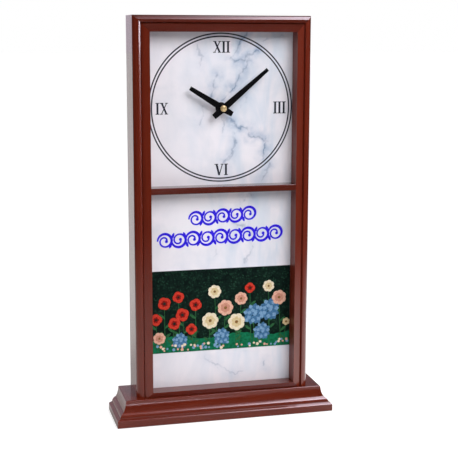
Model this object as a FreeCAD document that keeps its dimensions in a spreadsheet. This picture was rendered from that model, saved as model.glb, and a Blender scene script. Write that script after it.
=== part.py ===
import FreeCAD, Part
import math
import os
import Sketcher
from FreeCAD import Rotation, Vector

# A tall display clock: a moulded wooden frame and case on a moulded base, with one
# printed panel behind two windows and a battery clock movement behind the panel.
# Front is -Y, up is +Z, and the origin is the centre of the underside. Millimetres.

SIZES = {
    # base
    "base_wide": 231.0,
    "base_deep": 62.5,
    "base_tall": 25.5,
    "base_strip_wide": 24.0,
    "fascia_tall": 8.0,
    "fascia_ease": 0.6,
    "quirk_inset": 3.4,
    "quirk_tall": 9.2,
    "nose_tall": 10.2,
    "lip_inset": 7.5,
    "lip_tall": 14.6,
    "nose_round": 7.0,
    "cove_round": 22.0,
    "arris_inset": 10.3,
    "arris_ease": 1.0,
    "felt_thick": 1.2,
    "felt_proud": 0.3,
    "felt_margin": 1.0,
    # case and frame
    "overall_tall": 415.2,
    "case_wide": 184.5,
    "case_deep": 45.0,
    "case_setback": 13.7,
    "board_thick": 8.5,
    "moulding_wide": 16.3,
    "strip_wide": 7.9,
    "strip_fall": 3.1,
    "groove_wide": 0.4,
    "groove_deep": 0.8,
    "fillet_wide": 1.3,
    "fillet_rise": 1.4,
    "bead_fall": 8.6,
    "bead_round": 7.5,
    "reveal_deep": 16.4,
    "sill_tall": 5.2,
    "mid_rail_low": 237.2,
    "mid_rail_tall": 6.6,
    "mid_rail_setback": 0.3,
    "mid_rail_ease": 0.8,
    "tenon_long": 4.0,
    "tenon_setback": 4.0,
    # display panel and what holds it
    "panel_thick": 3.0,
    "panel_play": 0.3,
    "dial_drop": 76.4,
    "batten_wide": 6.0,
    "brad_radius": 0.7,
    "brad_bite": 6.0,
    "brad_head_radius": 1.3,
    "brad_head_thick": 0.5,
    "brad_edge": 40.0,
    # screws through the base
    "screw_radius": 1.75,
    "screw_head_radius": 3.6,
    "screw_head_thick": 2.4,
    "screw_seat": 12.0,
    "screw_bite": 6.5,
    "screw_far": 62.0,
    "screw_near": 21.0,
    "screw_play": 0.25,
    # movement housing
    "movement_wide": 56.0,
    "movement_deep": 15.5,
    "movement_round": 3.0,
    "wall_thick": 1.4,
    "front_wall": 1.6,
    "cover_thick": 1.4,
    "cover_play": 0.1,
    "bay_floor": 0.9,
    "bay_wide": 15.2,
    "rib_thick": 1.2,
    # battery and its contacts
    "battery_radius": 7.0,
    "battery_long": 49.5,
    "battery_nub_radius": 2.7,
    "battery_nub_long": 1.0,
    "contact_thick": 0.4,
    "contact_wide": 8.0,
    "contact_play": 0.1,
    # fixing of the movement
    "gasket_thick": 0.8,
    "gasket_radius": 9.0,
    "bush_radius": 3.95,
    "bush_long": 6.3,
    "bush_play": 0.15,
    "washer_radius": 5.9,
    "washer_thick": 0.6,
    "nut_across": 10.0,
    "nut_thick": 2.4,
    # shafts
    "fit_play": 0.05,
    "pivot_radius": 0.5,
    "pivot_deep": 0.7,
    "end_play": 0.1,
    "hour_tube_radius": 2.5,
    "hour_tube_bore": 1.6,
    "arbor_radius": 1.55,
    "clutch_radius": 1.2,
    "thread_radius": 1.25,
    "motion_post_radius": 0.6,
    # layers of wheels, as heights above the back of the movement
    "step_layer": 4.6,
    "seconds_layer": 6.0,
    "stator_layer": 7.0,
    "third_layer": 7.9,
    "centre_layer": 9.3,
    "motion_layer": 10.7,
    "hour_layer": 12.3,
    "wheel_thick": 0.7,
    "motion_thick": 1.2,
    "pinion_overlap": 0.2,
    # teeth
    "motion_module": 0.42,
    "train_module": 0.3,
    "third_module": 0.25,
    "hour_teeth": 32,
    "motion_pinion_teeth": 8,
    "motion_teeth": 30,
    "cannon_teeth": 10,
    "setting_teeth": 10,
    "centre_teeth": 60,
    "third_pinion_teeth": 8,
    "third_teeth": 64,
    "seconds_pinion_teeth": 8,
    "seconds_teeth": 40,
    "step_pinion_teeth": 8,
    "step_teeth": 36,
    "rotor_teeth": 6,
    # directions between wheel centres, in degrees
    "motion_turn": 180.0,
    "setting_turn": 180.0,
    "third_turn": 60.0,
    "seconds_turn": 0.0,
    "step_turn": 75.0,
    "rotor_turn": 150.0,
    # setting knob
    "knob_radius": 5.2,
    "knob_thick": 2.6,
    "knob_gap": 0.4,
    "knob_shaft_radius": 1.1,
    "knob_notch_radius": 0.5,
    "knob_notches": 18,
    # motor
    "magnet_radius": 2.5,
    "magnet_thick": 2.4,
    "magnet_gap": 0.6,
    "stator_thick": 0.6,
    "stator_rim": 1.1,
    "stator_leg": 2.0,
    "core_wide": 2.0,
    "core_reach": 3.6,
    "coil_up": 21.6,
    "coil_left": -20.0,
    "coil_right": 2.8,
    "flange_thick": 0.8,
    "flange_radius": 3.8,
    "winding_radius": 3.4,
    "spool_radius": 1.7,
    # circuit board
    "circuit_left": -26.0,
    "circuit_right": -19.0,
    "circuit_low": -8.0,
    "circuit_high": 13.0,
    "circuit_layer": 5.0,
    "circuit_thick": 1.0,
    "crystal_radius": 1.0,
    "crystal_long": 6.0,
    "chip_wide": 4.2,
    "chip_tall": 1.0,
    "post_radius": 1.2,
    "cover_post_radius": 1.5,
    # hands
    "hand_thick": 0.4,
    "hand_hub_radius": 4.2,
    "hour_hand_gap": 7.8,
    "hand_step": 2.0,
    "hour_reach": 39.8,
    "hour_tail": 11.6,
    "hour_root_wide": 7.0,
    "hour_tip_wide": 4.2,
    "hour_tail_wide": 5.2,
    "minute_reach": 60.7,
    "minute_tail": 13.0,
    "minute_root_wide": 6.9,
    "minute_tip_wide": 3.6,
    "minute_tail_wide": 5.6,
    "collet_thick": 1.2,
    "collet_wall": 1.0,
    "hour_angle": 301.3,
    "minute_angle": 50.0,
    "hand_nut_radius": 3.3,
    "hand_nut_skirt": 1.3,
    "hand_nut_tall": 3.2,
    "hand_nut_bore": 1.7,
    "overrun": 2.0,
}

# Tooth proportions, as shares of the module.
ADDENDUM_SHARE = 0.75
DEDENDUM_SHARE = 1.1
SUNK_SHARE = 0.3
WHEEL_ROOT_SHARE = 1.8
WHEEL_TIP_SHARE = 0.8
PINION_ROOT_SHARE = 1.35
PINION_TIP_SHARE = 0.8


class Size:
    """A size that knows its value now and the expression that drives it."""

    def __init__(self, text, value):
        self.text = text
        self.value = value

    def __add__(self, other):
        other = as_size(other)
        return Size(f"({self.text} + {other.text})", self.value + other.value)

    def __sub__(self, other):
        other = as_size(other)
        return Size(f"({self.text} - {other.text})", self.value - other.value)

    def __mul__(self, other):
        other = as_size(other)
        return Size(f"({self.text} * {other.text})", self.value * other.value)

    def __truediv__(self, other):
        other = as_size(other)
        return Size(f"({self.text} / {other.text})", self.value / other.value)

    def __rsub__(self, other):
        return as_size(other) - self

    def __radd__(self, other):
        return as_size(other) + self

    def __rmul__(self, other):
        return as_size(other) * self

    def __rtruediv__(self, other):
        return as_size(other) / self

    def __neg__(self):
        return Size(f"(0 - {self.text})", -self.value)

    def cosine(self):
        return Size(f"cos({self.text})", math.cos(math.radians(self.value)))

    def sine(self):
        return Size(f"sin({self.text})", math.sin(math.radians(self.value)))


def as_size(thing):
    return thing if isinstance(thing, Size) else Size(str(thing), float(thing))


document = FreeCAD.newDocument("display_clock")
sheet = document.addObject("Spreadsheet::Sheet", "Sizes")
for row, (alias, number) in enumerate(SIZES.items(), 1):
    sheet.set(f"A{row}", alias.replace("_", " "))
    sheet.set(f"B{row}", str(number))
    sheet.setAlias(f"B{row}", alias)
document.recompute()


class Named:
    """Every size of the sheet by its name."""


named = Named()
for alias, number in SIZES.items():
    setattr(named, alias, Size(f"Sizes.{alias}", float(number)))

# Planes and edges that several pieces share.
ZERO = as_size(0)
base_half = named.base_wide / 2
base_front = -named.base_deep / 2
base_rear = named.base_deep / 2
base_top = named.base_tall
case_top = named.overall_tall
case_half = named.case_wide / 2
arris = base_front + named.case_setback
case_rear = arris + named.case_deep
opening_half = case_half - named.moulding_wide
opening_top = case_top - named.moulding_wide
opening_low = base_top + named.sill_tall
board_inner = case_half - named.board_thick
panel_front = arris + named.reveal_deep
panel_back = panel_front + named.panel_thick
lid_low = case_top - named.board_thick
dial_height = opening_top - named.dial_drop
movement_back = panel_back + named.gasket_thick + named.movement_deep
bottom_board_front = panel_back + named.panel_play


# General ways of making a solid.

def bind(thing, path, size):
    thing.setExpression(path, as_size(size).text)


def place(thing, spots):
    for axis, spot in zip("xyz", spots):
        bind(thing, f"Placement.Base.{axis}", spot)


def block(name, low, high):
    """A rectangular block between two opposite corners."""
    solid = document.addObject("Part::Box", name)
    for side, start, end in zip(("Length", "Width", "Height"), low, high):
        bind(solid, side, as_size(end) - start)
    place(solid, low)
    return solid


ALONG = {
    "x": Rotation(Vector(0, 1, 0), 90),
    "y": Rotation(Vector(1, 0, 0), -90),
    "z": Rotation(),
}


def rod(name, along, start, length, radius):
    """A round bar from a start point, along one axis."""
    solid = document.addObject("Part::Cylinder", name)
    solid.Placement = FreeCAD.Placement(Vector(), ALONG[along])
    bind(solid, "Radius", radius)
    bind(solid, "Height", length)
    place(solid, start)
    return solid


def joined(name, pieces):
    solid = document.addObject("Part::MultiFuse", name)
    solid.Shapes = pieces
    return solid


def cut(name, base, tools):
    """The base less every tool."""
    tool = tools[0] if len(tools) == 1 else joined(f"{name}_tools", tools)
    solid = document.addObject("Part::Cut", name)
    solid.Base = base
    solid.Tool = tool
    return solid


def group(name, pieces):
    """Separate solids that share one node."""
    solid = document.addObject("Part::Compound", name)
    solid.Links = pieces
    return solid


def new_body(name):
    return document.addObject("PartDesign::Body", name)


def new_sketch(body, name, plane, offset):
    """A sketch on one of the body's own origin planes, moved along its normal."""
    sketch = body.newObject("Sketcher::SketchObject", name)
    support = next(f for f in body.Origin.OriginFeatures if f.Role == plane)
    sketch.AttachmentSupport = (support, [""])
    sketch.MapMode = "FlatFace"
    bind(sketch, "AttachmentOffset.Base.z", offset)
    return sketch


def arc_between(start, end, radius, turn):
    """The arc from start to end that turns left (1) or right (-1), and whether it is flipped."""
    chord = end - start
    middle = (start + end) / 2
    rise = math.sqrt(max(radius ** 2 - (chord.Length / 2) ** 2, 0))
    aside = Vector(-chord.y, chord.x, 0).normalize() * rise * turn
    centre = middle + aside
    first = math.atan2(start.y - centre.y, start.x - centre.x)
    last = math.atan2(end.y - centre.y, end.x - centre.x)
    circle = Part.Circle(centre, Vector(0, 0, 1), radius)
    if turn > 0:
        return Part.ArcOfCircle(circle, first, last), False
    return Part.ArcOfCircle(circle, last, first), True


def outline(sketch, points):
    """A closed outline. A point is (across, up), or (across, up, radius, turn) before an arc."""
    spots = [Vector(as_size(p[0]).value, as_size(p[1]).value, 0) for p in points]
    ends = []
    for index, point in enumerate(points):
        start = spots[index]
        end = spots[(index + 1) % len(points)]
        if len(point) == 2:
            made = sketch.addGeometry(Part.LineSegment(start, end), False)
            ends.append((made, 1, 2))
        else:
            arc, flipped = arc_between(start, end, point[2].value, point[3])
            made = sketch.addGeometry(arc, False)
            ends.append((made, 2, 1) if flipped else (made, 1, 2))
    for index, (made, _, last) in enumerate(ends):
        follower, first, _ = ends[(index + 1) % len(ends)]
        sketch.addConstraint(Sketcher.Constraint("Coincident", made, last, follower, first))
    for point, spot, (made, first, _) in zip(points, spots, ends):
        across = sketch.addConstraint(Sketcher.Constraint("DistanceX", -1, 1, made, first, spot.x))
        upward = sketch.addConstraint(Sketcher.Constraint("DistanceY", -1, 1, made, first, spot.y))
        bind(sketch, f"Constraints[{across}]", point[0])
        bind(sketch, f"Constraints[{upward}]", point[1])
        if len(point) > 2:
            bend = sketch.addConstraint(Sketcher.Constraint("Radius", made, point[2].value))
            bind(sketch, f"Constraints[{bend}]", point[2])


def ring(sketch, radius, across=ZERO, up=ZERO):
    """A circle of a driven radius at a driven place."""
    across = as_size(across)
    up = as_size(up)
    middle = Vector(across.value, up.value, 0)
    made = sketch.addGeometry(Part.Circle(middle, Vector(0, 0, 1), radius.value), False)
    size = sketch.addConstraint(Sketcher.Constraint("Radius", made, radius.value))
    bind(sketch, f"Constraints[{size}]", radius)
    sideways = sketch.addConstraint(Sketcher.Constraint("DistanceX", -1, 1, made, 3, middle.x))
    upward = sketch.addConstraint(Sketcher.Constraint("DistanceY", -1, 1, made, 3, middle.y))
    bind(sketch, f"Constraints[{sideways}]", across)
    bind(sketch, f"Constraints[{upward}]", up)


def corners(left, low, right, high):
    return [(left, low), (right, low), (right, high), (left, high)]


def pad(body, sketch, length):
    """Adds material along the sketch's normal."""
    feature = body.newObject("PartDesign::Pad", f"{sketch.Name}_pad")
    feature.Profile = sketch
    bind(feature, "Length", length)
    sketch.Visibility = False
    return feature


def pocket(body, sketch, length):
    """Takes material away against the sketch's normal, and makes sure that some went."""
    document.recompute()
    before = body.Shape.Volume
    feature = body.newObject("PartDesign::Pocket", f"{sketch.Name}_pocket")
    feature.Profile = sketch
    bind(feature, "Length", length)
    document.recompute()
    if body.Shape.Volume >= before:
        raise RuntimeError(f"{feature.Name} cuts nothing")
    return feature


# Base.

def base_profile(side, edge):
    """The base moulding's section: side 1 runs inward with the axis, side -1 against it."""
    def point(inset, height, *arc):
        if arc:
            arc = (arc[0], arc[1] * side)
        return (edge + inset * side, height, *arc)

    return [
        point(ZERO, named.felt_proud),
        point(ZERO, named.fascia_tall - named.fascia_ease),
        point(named.fascia_ease, named.fascia_tall),
        point(named.quirk_inset, named.quirk_tall),
        point(named.quirk_inset, named.nose_tall, named.nose_round, -1),
        point(named.lip_inset, named.lip_tall, named.cove_round, 1),
        point(named.arris_inset, base_top - named.arris_ease, named.arris_ease, -1),
        point(named.arris_inset + named.arris_ease, base_top),
        point(named.base_strip_wide, base_top),
        point(named.base_strip_wide, named.felt_proud),
    ]


def mitre_from_above(body, name, points):
    sketch = new_sketch(body, name, "XY_Plane", base_top + named.overrun)
    outline(sketch, points)
    pocket(body, sketch, base_top + named.overrun * 2)


def base_front_moulding():
    """The moulding along the front of the base, mitred at both ends."""
    body = new_body("base_front_moulding")
    sketch = new_sketch(body, "base_front_section", "YZ_Plane", -base_half)
    outline(sketch, base_profile(1, base_front))
    pad(body, sketch, named.base_wide)
    inner = base_half - named.base_strip_wide
    deep = base_front + named.base_strip_wide
    over = named.overrun
    for side, tag in ((-1, "left"), (1, "right")):
        points = [
            ((base_half + over) * side, base_front - over),
            ((base_half + over) * side, deep + over),
            ((inner - over) * side, deep + over),
        ]
        mitre_from_above(body, f"base_front_mitre_{tag}", points)
    return body


def base_side_moulding(name, side):
    """The moulding along one end of the base, mitred at the front and square at the rear."""
    body = new_body(name)
    sketch = new_sketch(body, f"{name}_section", "XZ_Plane", -base_rear)
    outline(sketch, base_profile(-side, base_half * side))
    pad(body, sketch, named.base_deep)
    over = named.overrun
    inner = base_half - named.base_strip_wide
    points = [
        ((base_half + over) * side, base_front - over),
        ((inner - over) * side, base_front - over),
        ((inner - over) * side, base_front + named.base_strip_wide + over),
    ]
    mitre_from_above(body, f"{name}_mitre", points)
    return body


def screw_places():
    return (-named.screw_far, -named.screw_near, named.screw_near, named.screw_far)


def screw_line():
    return (bottom_board_front + case_rear) / 2


def base_screws():
    """Four wood screws up through the base into the bottom board."""
    screws = []
    for index, across in enumerate(screw_places(), 1):
        seat = named.screw_seat
        head = rod(f"screw_head_{index}", "z", (across, screw_line(), seat - named.screw_head_thick),
                   named.screw_head_thick, named.screw_head_radius)
        shank = rod(f"screw_shank_{index}", "z", (across, screw_line(), seat),
                    base_top + named.screw_bite - seat, named.screw_radius)
        screws.append(joined(f"screw_{index}", [head, shank]))
    return group("base_screws", screws)


def base_core():
    """The board between the base mouldings, bored and counterbored for the screws."""
    inner = base_half - named.base_strip_wide
    blank = block("base_core_blank", (-inner, base_front + named.base_strip_wide, named.felt_thick),
                  (inner, base_rear, base_top))
    holes = []
    for index, across in enumerate(screw_places(), 1):
        holes.append(rod(f"core_hole_{index}", "z", (across, screw_line(), ZERO),
                         base_top + named.overrun, named.screw_radius + named.screw_play))
        holes.append(rod(f"core_counterbore_{index}", "z", (across, screw_line(), ZERO),
                         named.screw_seat, named.screw_head_radius + named.screw_play))
    return cut("base_core", blank, holes)


def base_felt():
    """The felt that the clock stands on, standing just proud of the mouldings."""
    inner = base_half - named.base_strip_wide - named.felt_margin
    front = base_front + named.base_strip_wide + named.felt_margin
    return block("base_felt", (-inner, front, ZERO),
                 (inner, base_rear - named.felt_margin, named.felt_thick))


# Frame.

def frame_profile(side, edge):
    """The frame moulding's section as (outward, back) points: a strip, a fine groove and a bead."""
    strip_end = named.strip_wide
    groove_end = strip_end + named.groove_wide
    groove_floor = named.strip_fall + named.groove_deep
    bead_start = strip_end + named.fillet_wide
    bead_front = named.strip_fall - named.fillet_rise
    return [
        (edge, arris),
        (edge + strip_end * side, arris + named.strip_fall),
        (edge + groove_end * side, arris + groove_floor),
        (edge + bead_start * side, arris + bead_front, named.bead_round, side),
        (edge + named.moulding_wide * side, arris + named.bead_fall),
        (edge + named.moulding_wide * side, panel_front),
        (edge, panel_front),
    ]


def mitre_from_front(body, name, points):
    sketch = new_sketch(body, name, "XZ_Plane", -(arris - named.overrun))
    outline(sketch, points)
    pocket(body, sketch, named.reveal_deep + named.overrun * 2)


def stile(name, side):
    """One upright of the frame, mitred to the top rail and to the bottom rail."""
    body = new_body(name)
    sketch = new_sketch(body, f"{name}_section", "XY_Plane", base_top)
    outline(sketch, frame_profile(side, opening_half * side))
    pad(body, sketch, case_top - base_top)
    over = named.overrun
    top_mitre = [
        ((case_half + over) * side, case_top + over),
        ((opening_half - over) * side, case_top + over),
        ((opening_half - over) * side, opening_top - over),
    ]
    mitre_from_front(body, f"{name}_top_mitre", top_mitre)
    low_mitre = [
        ((opening_half - over) * side, opening_low + over),
        ((opening_half - over) * side, base_top - over),
        ((opening_half + named.sill_tall + over) * side, base_top - over),
    ]
    mitre_from_front(body, f"{name}_low_mitre", low_mitre)
    housing = new_sketch(body, f"{name}_housing", "XZ_Plane", -(arris + named.tenon_setback))
    outline(housing, corners((opening_half - over) * side, named.mid_rail_low,
                             (opening_half + named.tenon_long) * side,
                             named.mid_rail_low + named.mid_rail_tall))
    pocket(body, housing, named.reveal_deep)
    return body


def top_rail():
    """The top of the frame, mitred at both ends."""
    body = new_body("top_rail")
    sketch = new_sketch(body, "top_rail_section", "YZ_Plane", -case_half)
    flipped = [(p[1], p[0], *((p[2], -p[3]) if len(p) > 2 else ())) for p in frame_profile(1, opening_top)]
    outline(sketch, flipped)
    pad(body, sketch, named.case_wide)
    over = named.overrun
    for side, tag in ((-1, "left"), (1, "right")):
        points = [
            ((case_half + over) * side, case_top + over),
            ((case_half + over) * side, opening_top - over),
            ((opening_half - over) * side, opening_top - over),
        ]
        mitre_from_front(body, f"top_rail_mitre_{tag}", points)
    return body


def bottom_rail():
    """The low sill of the frame, which stands on the base between the stiles."""
    body = new_body("bottom_rail")
    foot_half = opening_half + named.sill_tall
    sketch = new_sketch(body, "bottom_rail_section", "YZ_Plane", -foot_half)
    fall = named.strip_fall * named.sill_tall / named.strip_wide
    outline(sketch, [
        (arris, opening_low),
        (arris + fall, base_top),
        (panel_front, base_top),
        (panel_front, opening_low),
    ])
    pad(body, sketch, foot_half * 2)
    over = named.overrun
    for side, tag in ((-1, "left"), (1, "right")):
        points = [
            ((foot_half + over) * side, base_top - over),
            ((foot_half + over) * side, opening_low + over),
            ((opening_half - over) * side, opening_low + over),
        ]
        mitre_from_front(body, f"bottom_rail_mitre_{tag}", points)
    return body


def mid_rail():
    """The rail between the two windows, tenoned into both stiles."""
    body = new_body("mid_rail")
    low = named.mid_rail_low
    high = low + named.mid_rail_tall
    front = arris + named.mid_rail_setback
    ease = named.mid_rail_ease
    sketch = new_sketch(body, "mid_rail_section", "YZ_Plane", -opening_half)
    outline(sketch, [
        (front + ease, low),
        (panel_front, low),
        (panel_front, high),
        (front + ease, high, ease, 1),
        (front, high - ease),
        (front, low + ease, ease, 1),
    ])
    pad(body, sketch, opening_half * 2)
    tenon_half = opening_half + named.tenon_long
    tenon = new_sketch(body, "mid_rail_tenon", "YZ_Plane", -tenon_half)
    outline(tenon, corners(arris + named.tenon_setback, low, panel_front, high))
    pad(body, tenon, tenon_half * 2)
    return body


# Case.

def batten_brads():
    """Thin nails that pin the battens to the case."""
    brads = []
    inner = board_inner - named.batten_wide
    depth = panel_back + named.batten_wide / 2
    low = base_top + named.board_thick + named.brad_edge
    high = lid_low - named.brad_edge
    long = named.batten_wide + named.brad_bite
    for side, tag in ((-1, "left"), (1, "right")):
        for index, height in enumerate((low, (low + high) / 2, high), 1):
            foot = inner if side > 0 else -(inner + long)
            head = inner - named.brad_head_thick if side > 0 else -inner
            shank = rod(f"brad_{tag}_{index}", "x", (foot, depth, height), long, named.brad_radius)
            cap = rod(f"brad_head_{tag}_{index}", "x", (head, depth, height),
                      named.brad_head_thick, named.brad_head_radius)
            brads.append(joined(f"brad_whole_{tag}_{index}", [shank, cap]))
    for side, tag in ((-1, "left"), (1, "right")):
        across = (inner - named.brad_edge) * side
        floor = lid_low - named.batten_wide
        shank = rod(f"brad_top_{tag}", "z", (across, depth, floor), long, named.brad_radius)
        cap = rod(f"brad_head_top_{tag}", "z", (across, depth, floor - named.brad_head_thick),
                  named.brad_head_thick, named.brad_head_radius)
        brads.append(joined(f"brad_whole_top_{tag}", [shank, cap]))
    return group("batten_brads", brads)


def side_board(name, side, brads):
    """One side of the case, behind the frame moulding."""
    near = board_inner if side > 0 else -case_half
    blank = block(f"{name}_blank", (near, panel_front, base_top),
                  (near + named.board_thick, case_rear, lid_low))
    return cut(name, blank, [brads])


def top_board(brads):
    blank = block("top_board_blank", (-case_half, panel_front, lid_low), (case_half, case_rear, case_top))
    return cut("top_board", blank, [brads])


def bottom_board(screws):
    blank = block("bottom_board_blank", (-board_inner, bottom_board_front, base_top),
                  (board_inner, case_rear, base_top + named.board_thick))
    return cut("bottom_board", blank, [screws])


def side_batten(name, side, brads):
    near = board_inner - named.batten_wide if side > 0 else -board_inner
    blank = block(f"{name}_blank", (near, panel_back, base_top + named.board_thick),
                  (near + named.batten_wide, panel_back + named.batten_wide, lid_low))
    return cut(name, blank, [brads])


def top_batten(brads):
    inner = board_inner - named.batten_wide
    blank = block("top_batten_blank", (-inner, panel_back, lid_low - named.batten_wide),
                  (inner, panel_back + named.batten_wide, lid_low))
    return cut("top_batten", blank, [brads])


def display_panel():
    """The printed panel behind both windows, bored for the clock's bush."""
    half = board_inner - named.panel_play
    blank = block("display_panel_blank", (-half, panel_front, base_top + named.panel_play),
                  (half, panel_back, lid_low - named.panel_play))
    hole = rod("display_panel_hole", "y", (ZERO, panel_front - named.overrun, dial_height),
               named.panel_thick + named.overrun * 2, named.bush_radius + named.bush_play)
    return cut("display_panel", blank, [hole])


# Clock movement. Its pieces are drawn in a frame whose axes are across, up and forward,
# and whose origin is on the dial's axis at the back of the movement.

FACE_ON = Rotation(Vector(1, 0, 0), 90)
front_face = named.movement_deep
inner_front = front_face - named.front_wall
panel_face = front_face + named.gasket_thick + named.panel_thick
cavity_half = named.movement_wide / 2 - named.wall_thick
bay_low = -cavity_half
bay_high = bay_low + named.bay_wide
cavity_low = bay_high + named.rib_thick


def movement_body(name, across=ZERO, up=ZERO):
    body = new_body(name)
    body.Placement = FreeCAD.Placement(Vector(), FACE_ON)
    place(body, (across, movement_back, dial_height + up))
    return body


def disc(body, name, radius, low, high):
    sketch = new_sketch(body, name, "XY_Plane", low)
    ring(sketch, radius)
    return pad(body, sketch, high - low)


def bore(body, name, radius, low, high, across=ZERO, up=ZERO):
    sketch = new_sketch(body, name, "XY_Plane", high)
    ring(sketch, radius, across, up)
    return pocket(body, sketch, high - low)


def plate(body, name, left, low, right, high, back, front):
    sketch = new_sketch(body, name, "XY_Plane", back)
    outline(sketch, corners(left, low, right, high))
    return pad(body, sketch, front - back)


def recess(body, name, left, low, right, high, back, front):
    sketch = new_sketch(body, name, "XY_Plane", front)
    outline(sketch, corners(left, low, right, high))
    return pocket(body, sketch, front - back)


def wheel_gap(module, first, second):
    """The distance between the centres of two wheels in mesh."""
    return module * (first + second) / 2


def moved(place_from, distance, turn):
    return (place_from[0] + distance * turn.cosine(), place_from[1] + distance * turn.sine())


def mesh_phase(turn, driver_phase, driver_teeth, teeth):
    """The turn that sets a tooth of one wheel in a gap of the other."""
    return turn + 180 - 180 / teeth + (turn - driver_phase) * driver_teeth / teeth


CENTRE = (ZERO, ZERO)
motion_place = moved(CENTRE, wheel_gap(named.motion_module, named.cannon_teeth, named.motion_teeth),
                     named.motion_turn)
setting_place = moved(motion_place,
                      wheel_gap(named.motion_module, named.motion_teeth, named.setting_teeth),
                      named.setting_turn)
third_place = moved(CENTRE, wheel_gap(named.train_module, named.centre_teeth, named.third_pinion_teeth),
                    named.third_turn)
seconds_place = moved(third_place,
                      wheel_gap(named.third_module, named.third_teeth, named.seconds_pinion_teeth),
                      named.seconds_turn)
step_place = moved(seconds_place,
                   wheel_gap(named.train_module, named.seconds_teeth, named.step_pinion_teeth),
                   named.step_turn)
rotor_place = moved(step_place, wheel_gap(named.train_module, named.step_teeth, named.rotor_teeth),
                    named.rotor_turn)


def toothed(body, name, teeth, module, low, high, phase, shares):
    """A toothed disc: the root disc, one tooth, and that tooth repeated round the axis."""
    root = module * (teeth / 2 - DEDENDUM_SHARE)
    tip = module * (teeth / 2 + ADDENDUM_SHARE)
    disc(body, f"{name}_root", root, low, high)
    sketch = new_sketch(body, f"{name}_tooth", "XY_Plane", low)
    bind(sketch, "AttachmentOffset.Rotation.Angle", phase)
    foot_half = module * shares[0] / 2
    tip_half = module * shares[1] / 2
    foot = root - module * SUNK_SHARE
    outline(sketch, [(foot, -foot_half), (tip, -tip_half), (tip, tip_half), (foot, foot_half)])
    tooth = pad(body, sketch, high - low)
    pattern = body.newObject("PartDesign::PolarPattern", f"{name}_teeth")
    pattern.Originals = [tooth]
    pattern.Axis = (sketch, ["N_Axis"])
    pattern.Angle = 360
    bind(pattern, "Occurrences", teeth)
    body.Tip = pattern
    document.recompute()


WHEEL_SHARES = (WHEEL_ROOT_SHARE, WHEEL_TIP_SHARE)
PINION_SHARES = (PINION_ROOT_SHARE, PINION_TIP_SHARE)


def pivots(body, name):
    """A thin arbor that runs from the cover to the front wall of the movement."""
    low = named.cover_thick - named.pivot_deep + named.end_play
    high = inner_front + named.pivot_deep - named.end_play
    disc(body, f"{name}_arbor", named.pivot_radius, low, high)


def layer_end(layer):
    return layer + named.wheel_thick


def minute_arbor():
    """The minute shaft: its rear pivot, clutch seat, pinion, shaft and threaded tip."""
    body = movement_body("minute_arbor")
    low = named.cover_thick - named.pivot_deep + named.end_play
    disc(body, "minute_pivot", named.pivot_radius, low, named.motion_layer)
    disc(body, "minute_clutch", named.clutch_radius, named.centre_layer - named.pinion_overlap,
         named.motion_layer)
    toothed(body, "cannon", named.cannon_teeth, named.motion_module, named.motion_layer,
            named.motion_layer + named.motion_thick, ZERO, PINION_SHARES)
    shaft_end = minute_plane() + named.hand_thick
    disc(body, "minute_shaft", named.arbor_radius, named.motion_layer, shaft_end)
    disc(body, "minute_thread", named.thread_radius, shaft_end,
         shaft_end + named.hand_nut_bore - named.end_play)
    return body


def hour_plane():
    return panel_face + named.hour_hand_gap


def minute_plane():
    return hour_plane() + named.hand_step


def hour_wheel():
    """The hour wheel and the tube that carries the hour hand."""
    body = movement_body("hour_wheel")
    low = named.hour_layer
    disc(body, "hour_tube", named.hour_tube_radius, low, hour_plane() + named.hand_thick)
    phase = mesh_phase(named.motion_turn + 180, ZERO, named.motion_pinion_teeth, named.hour_teeth)
    toothed(body, "hour_gear", named.hour_teeth, named.motion_module, low,
            low + named.motion_thick, phase, WHEEL_SHARES)
    bore(body, "hour_bore", named.hour_tube_bore, low - named.overrun,
         hour_plane() + named.hand_thick + named.overrun)
    return body


def motion_wheel():
    """The wheel and pinion between the minute shaft and the hour wheel."""
    body = movement_body("motion_wheel", *motion_place)
    low = named.motion_layer
    high = named.hour_layer + named.motion_thick
    phase = mesh_phase(named.motion_turn, ZERO, named.cannon_teeth, named.motion_teeth)
    toothed(body, "motion_gear", named.motion_teeth, named.motion_module, low,
            low + named.motion_thick, phase, WHEEL_SHARES)
    toothed(body, "motion_pinion", named.motion_pinion_teeth, named.motion_module, low,
            high, ZERO, PINION_SHARES)
    bore(body, "motion_bore", named.motion_post_radius + named.fit_play, low - named.overrun,
         high + named.overrun)
    return body


def set_knob():
    """The setting pinion, its shaft and the knob behind the movement."""
    body = movement_body("set_knob", *setting_place)
    top = inner_front + named.pivot_deep - named.end_play
    disc(body, "setting_pivot", named.pivot_radius, named.motion_layer, top)
    disc(body, "setting_shaft", named.knob_shaft_radius, -named.knob_gap, named.motion_layer)
    first_phase = mesh_phase(named.motion_turn, ZERO, named.cannon_teeth, named.motion_teeth)
    phase = mesh_phase(named.setting_turn, first_phase, named.motion_teeth, named.setting_teeth)
    toothed(body, "setting_pinion", named.setting_teeth, named.motion_module, named.motion_layer,
            named.motion_layer + named.motion_thick, phase, PINION_SHARES)
    back = -named.knob_gap - named.knob_thick
    disc(body, "knob_disc", named.knob_radius, back, -named.knob_gap)
    notch = new_sketch(body, "knob_notch", "XY_Plane", -named.knob_gap)
    ring(notch, named.knob_notch_radius, named.knob_radius)
    first = pocket(body, notch, named.knob_thick)
    pattern = body.newObject("PartDesign::PolarPattern", "knob_notches")
    pattern.Originals = [first]
    pattern.Axis = (notch, ["N_Axis"])
    pattern.Angle = 360
    bind(pattern, "Occurrences", named.knob_notches)
    body.Tip = pattern
    return body


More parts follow.
